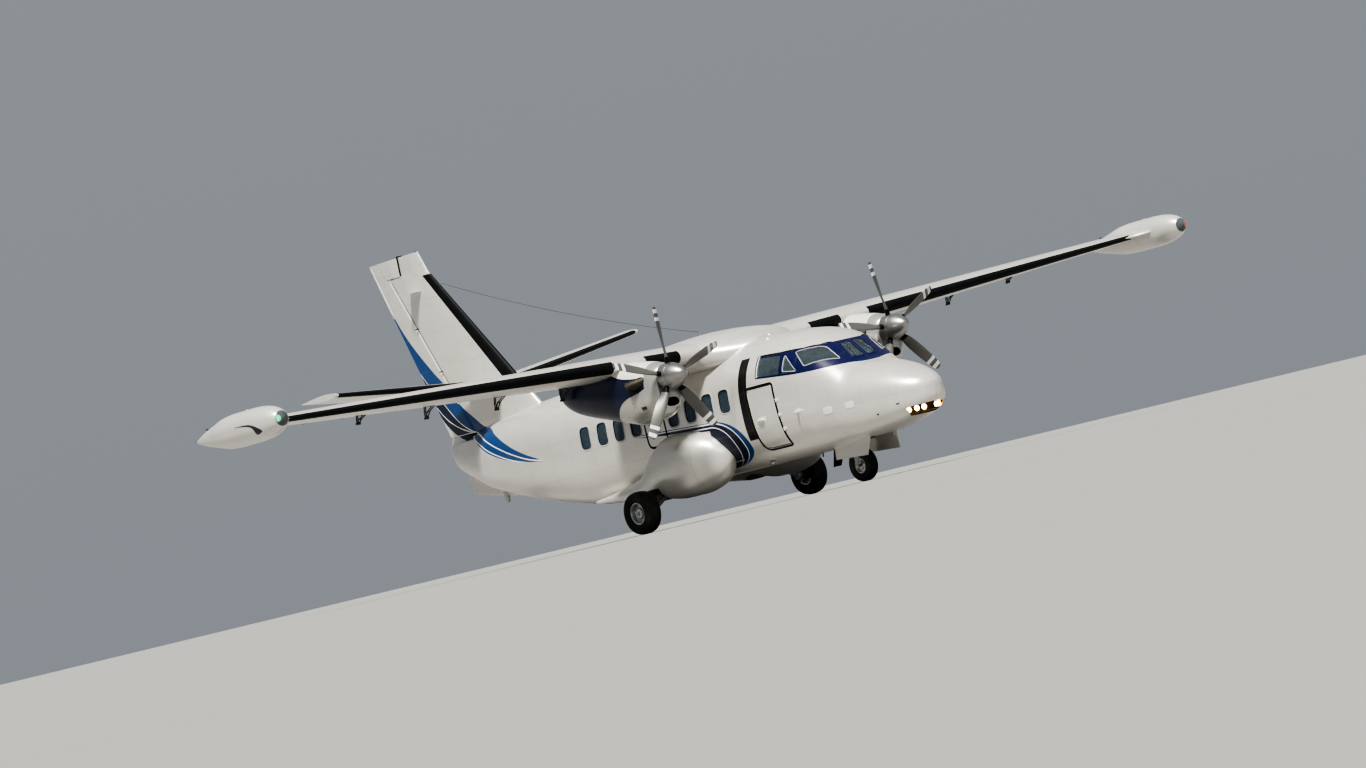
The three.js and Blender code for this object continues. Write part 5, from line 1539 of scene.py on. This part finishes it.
for k in range(-2, 3):
    foot, lean = spot(2.03, 0.035 * k, 1.20), 0.012 * (k % 2)
    throttles.append(bar([foot, foot + Vector((-0.03 - lean, 0, 0.13))], 0.005, 10))
    throttles.append(softBox(foot + Vector((-0.055 - lean, -0.011, 0.125)),
                             foot + Vector((-0.015 - lean, 0.011, 0.155)), 0.006))
newPiece("throttle_levers", throttles, gearSteel)

# Passenger seats: one to port and two to starboard in each row
cabin = {"rows": (4.30, 5.06, 5.82, 6.58), "places": (0.60, -0.26, -0.69), "half": 0.195, "cushion": 1.205,
         "back": (0.255, 1.575), "floor": 0.802}
for row, aft in enumerate(cabin["rows"]):
    for letter, y in zip("abc", cabin["places"]):
        tag = str(row + 1) + letter
        behind, middle = cabin["back"]
        paddedPiece("cabin_cushion_" + tag, (aft, y, cabin["cushion"]), (0, cabin["half"], 0), (0.205, 0, 0),
                    (0, 0, 0.055), (-0.4, 0.4), 20)
        paddedPiece("cabin_back_" + tag, (aft + behind, y, middle), (-0.07, 0, 0.325), (0, cabin["half"], 0),
                    (0.05, 0, 0.01), (-0.55, -0.1, 0.35), 20)
        legs = [softBox((aft - 0.18, y - 0.18, 1.125), (aft + 0.19, y + 0.18, 1.148), 0.006)]
        low = cabin["floor"]
        for edge in (y - 0.14, y + 0.14):
            legs += [bar([(aft - 0.14, edge, low), (aft - 0.12, edge, 1.13)], 0.013, 10),
                     bar([(aft + 0.17, edge, low), (aft + 0.14, edge, 1.13)], 0.013, 10),
                     bar([(aft - 0.17, edge, low + 0.006), (aft + 0.20, edge, low + 0.006)], 0.010, 8)]
        newPiece("cabin_seat_frame_" + tag, legs, gearSteel)


def finishNode(name, finish):
    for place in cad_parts[name].material_slots:
        place.material = finish


finishNode("instrument_panel", panelPlastic)
finishNode("cabin_floor", floorAlloy)
print("flight deck made")

# Cabin windows with their frames
for tag, side in sides.items():
    sheets, rims, gaskets = [], [], []
    for aft in cabinWindows[tag]:
        sheets.append(skinPlate(bodyGuide, windowCorners(aft, side, 0.012), 0.014, 0.006, 8))
        outline = rounded(windowCorners(aft, side, 0.014), cabinWindows["round"] + 0.014, 6)
        rims.append(ribbon(bodyGuide, outline, 0.030, 0.004))
        outline = rounded(windowCorners(aft, side, -0.004), cabinWindows["round"] - 0.004, 6)
        gaskets.append(ribbon(bodyGuide, outline, 0.010, -0.003, sink=0.016))
    newPiece("cabin_glass_" + tag, sheets, cabinGlassPaintedSky)
    newPiece("window_frames_" + tag, rims, framePaint, sharp=50)
    newPiece("window_gaskets_" + tag, gaskets, sealRubber, sharp=50)

doorTrim = {
    "seals": {"crew_door": 0.042, "cargo_door": 0.012, "passenger_door": 0.012},
    "exit": [(6.272, 1.366), (6.272, 2.15), (5.728, 2.15), (5.728, 1.366)], "exitRound": 0.11,
    "exitWidth": 0.040,
    "hinges": (1.62, 1.38, 1.14),
    "pane": [(8.33, 1.63), (8.60, 1.63), (8.60, 2.01), (8.33, 2.01)],
}
# Black seals round the doors; the crew door's is far wider than a real seal, as painted shade of its gap
for name, width in doorTrim["seals"].items():
    door, grow = doors[name], width / 2 + 0.001
    wide = {**door, "front": door["front"] - grow, "rear": door["rear"] + grow, "sill": door["sill"] - grow,
            "head": door["head"] + grow}
    rim = onSkin([(p.x, p.z) for p in doorOutline(wide, False)], door["side"])
    newPiece(name + "_seal", [ribbon(bodyGuide, rim, width)], sealRubber, sharp=50)
for tag, side in sides.items():
    corners = rounded([Vector((a, 0, z)) for a, z in doorTrim["exit"]], doorTrim["exitRound"], 6)
    path = onSkin([(p.x, p.z) for p in corners], side)
    newPiece("exit_outline_" + tag, [ribbon(bodyGuide, path, doorTrim["exitWidth"], 0.002)], sealRubber,
             sharp=50)


# A place on the skin, its normal and the two directions along it
def seated(aft, z, side):
    place = onBody(aft, z, side)
    normal = guideNormal(bodyGuide, place)
    along = (Vector((1, 0, 0)) - normal * normal.x).normalized()
    return place, normal, along, normal.cross(along)


# A path from rows of height over the skin and distance along it
def risen(place, normal, along, rows):
    return [place + normal * up + along * ahead for up, ahead in rows]


def pad(aft, z, side, long, tall, high=0.006, soft=0.35):
    place, normal, along, up = seated(aft, z, side)
    rings = []
    for share, rise in ((1.0, -0.004), (1.0, high * 0.4), (0.96, high * 0.85), (0.88, high)):
        corners = [place + along * (u * long / 2 * share) + up * (v * tall / 2 * share) + normal * rise
                   for u, v in ((-1, -1), (1, -1), (1, 1), (-1, 1))]
        rings.append(rounded(corners, min(long, tall) * soft * share, 4))
    return loft(rings)


for tag, side in sides.items():
    newPiece("skin_plates_" + tag, [pad(1.71, 1.249, side, 0.19, 0.12), pad(1.255, 1.25, side, 0.18, 0.11)],
             platePaint, sharp=50)
    place, normal, along, _ = seated(2.33, 1.357, side)
    stalk = risen(place, normal, along, [(-0.01, 0), (0.07, 0), (0.115, 0.02), (0.13, 0.06), (0.13, 0.20)])
    newPiece("pitot_" + tag, [bar(spaced(stalk, 0.015), 0.017, 16), pad(2.33, 1.357, side, 0.14, 0.08),
                              bar([stalk[-1] - along * 0.01, stalk[-1] + along * 0.08], [0.015, 0.007], 16)],
             platePaint)
    newPiece("nose_ports_" + tag, [pad(0.803, 0.994, side, 0.040, 0.030, 0.002, 0.5),
                                   pad(0.42, 1.083, side, 0.06, 0.022, 0.002, 0.5)], darkMetal, sharp=50)

place, normal, along, _ = seated(3.16, 1.368, -1)
grip = risen(place, normal, along, [(-0.005, 0), (0.024, 0), (0.028, -0.02), (0.028, -0.12), (0.004, -0.135)])
newPiece("crew_door_handle",
         [bar(spaced(grip, 0.01), 0.014, 14, squash=1.3), pad(3.19, 1.368, -1, 0.20, 0.09, 0.003)],
         platePaint, "crew_door_body", sharp=50)
hinges = []
for z in doorTrim["hinges"]:
    place, normal, _, _ = seated(2.762, z, -1)
    hinges.append(pad(2.735, z, -1, 0.055, 0.050, 0.008))
    half = Vector((0, 0, 0.03))
    hinges.append(pin(place - half + normal * 0.009, place + half + normal * 0.009, 0.009))
newPiece("crew_door_hinges", hinges, platePaint, sharp=50)
for name, aft in (("cargo_door", 7.82), ("passenger_door", 8.20)):
    place, normal, along, _ = seated(aft, 1.50, 1)
    grip = risen(place, normal, along, [(-0.005, 0), (0.024, 0), (0.028, 0.09), (0.004, 0.10)])
    newPiece(name + "_handle",
             [bar(spaced(grip, 0.012), 0.009, 12), pad(aft - 0.05, 1.50, 1, 0.18, 0.08, 0.003)],
             alloy, name + "_body", sharp=50)
doorPane = onSkin(doorTrim["pane"], 1)
newPiece("passenger_door_pane", [skinPlate(bodyGuide, doorPane, -0.0015, 0.006, 8)], cabinGlassPaintedSky,
         "passenger_door_body")
newPiece("passenger_door_pane_frame", [ribbon(bodyGuide, rounded(doorPane, 0.02, 4), 0.034, 0.004)],
         framePaint,
         "passenger_door_body", sharp=50)
print("windows and skin fittings made")

# Landing lamps in their recess, with a reflector and lens for each
lamps = {
    "places": [(0.375, 0.325, 0.945), (0.290, 0.228, 0.945), (0.228, 0.128, 0.942)],
    "bowl": [(-0.05, 0.012), (-0.045, 0.026), (-0.02, 0.042), (0.0, 0.049), (0.004, 0.050), (0.004, 0.045),
             (-0.012, 0.038), (-0.014, 0.01)],
    "bulb": [(-0.013, 0.036), (-0.006, 0.037), (0.002, 0.033), (0.010, 0.022), (0.014, 0.008)],
    "shelf": [(0.20, -0.20), (0.46, -0.32), (0.49, 0.0), (0.46, 0.32), (0.20, 0.20), (0.14, 0.0)],
    "shelfHeights": (0.872, 0.880),
}
# The reflectors and the shelf carry painted warm lamplight in their colour
reflectors, bulbs = [], []
for side in sides.values():
    way = Vector((1, side * 0.25, -0.02)).normalized()
    for centre in spots(lamps["places"], side):
        reflectors.append(turned(lamps["bowl"], centre, way, 40))
        bulbs.append(turned(lamps["bulb"], centre, way, 32))
newPiece("landing_reflectors", reflectors, bowlPaintedGlow)
newPiece("landing_bulbs", bulbs, landingGlow)
shelf = rawObject("lamp_shelf",
                  [loft([[spot(a, y, z) for a, y in lamps["shelf"]] for z in lamps["shelfHeights"]])],
                  [lampBayPaintedGlow])
carve(shelf, [loft(bodyRings(-0.02, 0.56, 16, -0.012))], keep=True)
settle(shelf)
print("landing lamps made")

# Landing gear
gear = {"mainAft": 5.860, "mainY": 1.825, "mainRadius": 0.359, "noseAft": 2.190, "noseLeg": 2.150,
        "noseRadius": 0.274}
# Rows of distance along the axle and radius
tyres = {
    "main": {
        "tyre": [(-0.104, 0.187), (-0.125, 0.205), (-0.144, 0.235), (-0.149, 0.270), (-0.146, 0.305),
                 (-0.130, 0.332),
                 (-0.105, 0.3465), (-0.075, 0.354), (-0.045, 0.3575), (-0.020, 0.3588)],
        "rim": [(-0.106, 0.1855), (-0.106, 0.172), (-0.098, 0.160), (-0.060, 0.154), (-0.036, 0.150),
                (-0.032, 0.120),
                (-0.038, 0.096), (-0.070, 0.086), (-0.074, 0.060), (-0.072, 0.034)],
        "inner": [(0.072, 0.034), (0.074, 0.060), (0.070, 0.086), (0.012, 0.098), (0.008, 0.152),
                  (0.098, 0.160),
                  (0.106, 0.172), (0.106, 0.1855)],
        "grooves": (-0.085, -0.045, 0.0, 0.045, 0.085), "bolts": 8, "boltRing": 0.070, "hole": 0.014,
    },
    "nose": {
        "tyre": [(-0.072, 0.135), (-0.092, 0.150), (-0.106, 0.180), (-0.108, 0.210), (-0.102, 0.240),
                 (-0.085, 0.258),
                 (-0.060, 0.268), (-0.032, 0.2725), (-0.012, 0.2738)],
        "rim": [(-0.074, 0.1335), (-0.074, 0.122), (-0.066, 0.113), (-0.042, 0.108), (-0.044, 0.075),
                (-0.060, 0.060),
                (-0.062, 0.044), (-0.062, 0.028)],
        "inner": [(0.062, 0.028), (0.062, 0.044), (0.060, 0.060), (0.044, 0.075), (0.042, 0.108),
                  (0.066, 0.113),
                  (0.074, 0.122), (0.074, 0.1335)],
        "grooves": (-0.050, 0.0, 0.050), "bolts": 6, "boltRing": 0.050, "hole": 0.010,
    },
}
groove = {"half": 0.0065, "depth": 0.009, "steep": 2.2, "band": 0.03}


def tyreForm(kind, centre, side):
    profile = kind["tyre"] + [(-a, r) for a, r in reversed(kind["tyre"])]
    curve = smoothTable([(i, a, r) for i, (a, r) in enumerate(profile)])
    points = []
    for t in evenly(0, len(profile) - 1, 120):
        a, r = curve(t)
        depth = max(0.0, 1 - min(abs(a - g) for g in kind["grooves"]) / groove["half"])
        tread = r > profile[6][1] - groove["band"]
        points.append((side * a, r - groove["depth"] * min(depth * groove["steep"], 1.0) if tread else r))
    points.append((-side * profile[0][0], profile[-1][1]))
    return turned(points, centre, (0, 1, 0), 96, closed=True)


# Short pins round a wheel's axle, between two distances along it
def pinRing(centre, ring, count, offset, ends, radius, around):
    pins = []
    for i in range(count):
        turn = 2 * math.pi * (i + offset) / count
        base = centre + Vector((math.cos(turn) * ring, 0, math.sin(turn) * ring))
        pins.append(pin(base + Vector((0, ends[0], 0)), base + Vector((0, ends[1], 0)), radius, around))
    return pins


def wheel(kind, centre, side, tag, joint, stands):
    newPiece("tyre_" + tag, [tyreForm(kind, centre, side)], tyreRubber, joint, (stands[0],), 30)
    rim, bolts = kind["rim"], kind["bolts"]
    out, web = rim[-3][0] * side, rim[4][0]
    profile = [(side * a, r) for a, r in rim + kind["inner"]]
    shapes = [turned(profile, centre, (0, 1, 0), 72, closed=True)]
    shapes += pinRing(centre, kind["boltRing"], bolts, 0, (out * 0.96, out * 1.14), 0.0085, 6)
    shapes += pinRing(centre, (rim[5][1] + rim[3][1]) / 2, bolts, 0.5,
                      (side * (web - 0.004), side * (web + 0.01)),
                      kind["hole"], 24)
    newPiece("rim_" + tag, shapes, alloy, joint, (stands[1],), 30)


for tag, side in sides.items():
    a, y, r = gear["mainAft"], gear["mainY"], gear["mainRadius"]
    wheel(tyres["main"], spot(a, side * y, r), -side, "main_" + tag, "main_wheel_" + tag,
          ("main_tyre_" + tag, "main_rim_" + tag))

    def leg(*rows):
        return spots(rows, side)

    newPiece("main_leg_" + tag + "_steel", [
        pin(*leg((5.700, 1.23, 0.600), (6.020, 1.23, 0.600)), 0.038, 28),
        pin(*leg((5.700, 1.15, 0.655), (6.020, 1.15, 0.655)), 0.026, 24),
        bar(leg((a, 1.23, 0.600), (a, 1.30, 0.552), (a, 1.50, 0.424), (a, 1.585, 0.365), (a, 1.60, 0.350)),
            [0.050, 0.062, 0.056, 0.054, 0.04], 28),
        pin(*leg((a - 0.07, 1.23, 0.600), (a + 0.07, 1.23, 0.600)), 0.060, 28),
        pin(*leg((a, 1.552, r), (a, 1.640, r)), 0.072, 36),
        pin(*leg((a, 1.600, r), (a, y + 0.070, r)), 0.027, 24),
        bar(leg((a + 0.075, 1.56, 0.44), (a + 0.05, 1.565, 0.425), (a, 1.56, 0.41)), 0.030, 20),
    ], gearSteel, stands=("main_leg_" + tag,))
    top, foot = leg((a + 0.075, 1.15, 0.655), (a + 0.075, 1.56, 0.440))
    newPiece("main_damper_" + tag, [bar([top, *[top.lerp(foot, share) for share in (0.06, 0.55, 0.58)]],
                                        [0.030, 0.042, 0.042, 0.036], 28)], gearSteel)
    newPiece("main_damper_rod_" + tag, [bar([top.lerp(foot, 0.5), foot], 0.024, 24)], chrome)
    pipe = leg((a - 0.055, 1.22, 0.66), (a - 0.075, 1.30, 0.60), (a - 0.072, 1.42, 0.52),
               (a - 0.068, 1.52, 0.44),
               (a - 0.052, 1.575, 0.39))
    newPiece("brake_line_" + tag, [bar(spaced(pipe, 0.03), 0.006, 10)], sealRubber)
    newPiece("brake_" + tag, [
        turned([(-0.030, 0.03), (-0.030, 0.118), (-0.026, 0.122), (0.026, 0.122), (0.030, 0.118),
                (0.030, 0.03)],
               spot(a, side * 1.672, r), (0, 1, 0), 56),
        softBox(*leg((a + 0.06, 1.648, r + 0.03), (a - 0.06, 1.706, r + 0.13)), 0.008)],
        engineMetal)
axleAft, la = gear["noseAft"], gear["noseLeg"]
wheel(tyres["nose"], spot(axleAft, 0, gear["noseRadius"]), -1, "nose", "nose_wheel",
      ("nose_tyre", "nose_rim"))
newPiece("nose_leg_steel", [
    bar([(la, 0, z) for z in (0.648, 0.655, 0.67, 0.815, 0.829)], [0.050, 0.062, 0.064, 0.064, 0.058], 36),
    pin((la, -0.289, 0.76), (la, 0.289, 0.76), 0.030, 24),
    pin((la, 0, 0.72), (2.42, 0, 0.80), 0.026),
    pin((la, 0.05, 0.70), (1.90, 0.05, 0.81), 0.014, 16),
], gearSteel, stands=("nose_leg",))
fork = [bar([(la, 0, 0.585), (la, 0, 0.60), (la, 0, 0.650)], [0.056, 0.050, 0.046], 32),
        softBox((la + 0.075, -0.150, 0.566), (la - 0.060, 0.150, 0.612), 0.012),
        pin((axleAft, -0.156, 0.274), (axleAft, 0.156, 0.274), 0.021, 24)]
for side in (1, -1):
    rings = []
    for t in evenly(0, 1, 6):
        front, rear = mix(la - 0.052, axleAft - 0.036, t), mix(la + 0.066, axleAft + 0.036, t)
        z = mix(0.585, 0.236, t)
        rings.append(spots([(front + 0.01, 0.119, z), (rear - 0.01, 0.119, z), (rear, 0.126, z),
                            (rear, 0.140, z),
                            (rear - 0.01, 0.147, z), (front + 0.01, 0.147, z), (front, 0.140, z),
                            (front, 0.126, z)], side))
    fork.append(loft(rings))
    fork.append(pin(*spots([(axleAft, 0.117, 0.274), (axleAft, 0.152, 0.274)], side), 0.042, 32))
newPiece("nose_fork_steel", fork, gearSteel, "nose_steering_body", ("nose_fork",))
for tag in sides:
    finishNode("nose_door_" + tag, podPaint)
print("landing gear made")

# Hinge brackets under the wing, each an open frame of thin bars
brackets = {"spans": (2.81, 4.22, 5.69, 7.08), "depths": (0.20, 0.20, 0.19, 0.13), "half": 0.024,
            "front": 0.56,
            "middle": 0.66, "foot": 0.712, "rear": (0.716, 0.698), "plate": ((0.58, -0.03), (0.70, -0.03),
                                                                           (0.70, 0.03), (0.58, 0.03))}
for tag, side in sides.items():
    shapes, half = [], brackets["half"]
    for span, low in zip(brackets["spans"], brackets["depths"]):
        def under(share, below, shift=0.0):
            return panelPoint(wing, span + shift, share, -1, side, below)

        middle, foot, (back, end) = brackets["middle"], brackets["foot"], brackets["rear"]
        for shift in (-half, half):
            heel = under(foot, low, shift)
            shapes.append(bar([under(brackets["front"], -0.006, shift), under(middle, low * 0.45, shift),
                               heel],
                              [0.009, 0.010, 0.011], 12))
            shapes.append(bar([heel, under(back, low * 0.5, shift * 0.6), under(end, -0.004, shift * 0.6)],
                              [0.011, 0.010, 0.009], 12))
        shapes.append(pin(under(foot, low, -half * 1.8), under(foot, low, half * 1.8), 0.017, 18))
        shapes.append(pin(under(middle, low * 0.45, -half * 1.3), under(middle, low * 0.45, half * 1.3),
                          0.012, 14))
        shapes.append(loft([[under(f, d, s) for f, s in brackets["plate"]] for d in (-0.004, 0.006)]))
    newPiece("hinge_brackets_" + tag, shapes, darkMetal)

# Lights and vents on the tip tanks
for tag, side in sides.items():
    y, z = side * tank["y"], tank["z"]
    newPiece("nav_lamp_" + tag,
             [turned([(-0.03, 0.02), (-0.02, 0.050), (0.0, 0.052), (0.012, 0.044), (0.020, 0.020)],
                                        (3.862, side * (tank["y"] + 0.082), z + 0.01), (1, side * 1.15, 0),
                                        32)],
             {"starboard": greenGlow, "port": redGlow}[tag])
    base = spot(5.93, y, z + 0.128)
    newPiece("tank_vent_" + tag,
             [bar([base, base + Vector((-0.02, 0, 0.022)), base + Vector((-0.07, 0, 0.028))],
                                      [0.016, 0.014, 0.012], 16)], darkMetal)
    newPiece("tank_filler_" + tag, [turned([(-0.004, 0.04), (0.002, 0.046), (0.005, 0.044), (0.006, 0.02)],
                                           (4.75, y, z + 0.2685), (0, 0, 1), 32)], silverPaint)
    starts = [panelPoint(wing, span, 1.0, 0, side) for span in (7.0, 7.8, 8.6)]
    newPiece("static_wicks_" + tag, [bar([start + Vector((0.01, 0, 0)), start + Vector((-0.10, 0, -0.012))],
                                         [0.004, 0.0025], 8) for start in starts], darkMetal,
             "aileron_" + tag + "_body")


# Aerials and small fittings on the fuselage; each end is front, rear and height
def bladeAerial(root, tip, thick):
    rings = []
    for t in evenly(0, 1, 8):
        front, rear, z = [mix(a, b, t) for a, b in zip(root, tip)]
        half = thick / 2 * (1 - 0.5 * t)
        upper = [(mix(front, rear, f), half * math.sin(math.pi * min(f * 0.85 + 0.08, 1)) ** 0.7)
                 for f in (0.0, 0.05, 0.15, 0.35, 0.6, 0.85, 1.0)]
        rings.append([spot(a, y, z) for a, y in upper] + [spot(a, -y, z) for a, y in reversed(upper)])
    return loft(rings)


newPiece("belly_aerial", [bladeAerial((2.55, 2.83, 0.64), (2.74, 2.95, 0.345), 0.022)], sealRubber)
newPiece("belly_probe", [pin((2.98, -0.12, 0.625), (3.0, -0.12, 0.55), 0.012)], darkMetal)
newPiece("roof_aerial", [bladeAerial((4.30, 4.48, 2.70), (4.42, 4.52, 2.86), 0.016)], bladeBand)
domes = []
for aft, y, z, long in ((3.81, 0.0, 2.706, 0.17), (3.35, -0.416, 2.622, 0.14), (8.35, 0.0, 2.705, 0.20)):
    domes.append(loft([[spot(aft - long / 2 * share * math.cos(t), y + 0.045 * share * math.sin(t), z + rise)
                        for t in turnsOf(32)] for share, rise in (
        (1.0, -0.02), (1.0, 0.006), (0.93, 0.020), (0.75, 0.034), (0.45, 0.044), (0.1, 0.047))]))
newPiece("roof_domes", domes, bodyPaint)
# profile, centre, axis and glow of the lights on the fuselage
bodyLights = {
    "beacon_top": ([(-0.02, 0.045), (0.01, 0.046), (0.02, 0.040), (0.055, 0.034), (0.075, 0.022),
                    (0.082, 0.006)],
                   (9.3, 0, 2.69), (0, 0, 1), redGlow),
    "belly_light": ([(-0.02, 0.05), (0.004, 0.05), (0.018, 0.04), (0.026, 0.015)], (3.71, -0.60, 0.66),
                    (0, -0.45, -1), lampGlass),
    "tail_lamp": ([(-0.02, 0.035), (0.035, 0.036), (0.055, 0.028), (0.068, 0.010)], (13.13, 0, 2.27),
                  (-1, 0, 0),
                  whiteGlow),
}
for name, (profile, centre, axis, glow) in bodyLights.items():
    newPiece(name, [turned(profile, centre, axis, 32)], glow)

# The aerial wire hangs from the fin's leading edge to the roof
wire = {"from": (12.37, 0.0, 5.16), "to": (5.55, 0.0, 3.075), "sag": 0.12, "radius": 0.0035}
start, end = spot(*wire["from"]), spot(*wire["to"])
path = [start.lerp(end, t) - Vector((0, 0, wire["sag"] * 4 * t * (1 - t))) for t in evenly(0, 1, 40)]
newPiece("aerial_wire", [bar(path, wire["radius"], 8)], darkMetal)
newPiece("aerial_mast", [bar([end - Vector((0, 0, 0.09)), end + Vector((0, 0, 0.012))], [0.014, 0.008], 14),
                         pin(start - Vector((0.10, 0, 0)), start + Vector((0.02, 0, 0)), 0.008, 12)],
                         silverPaint)
print("aerials and lights made")
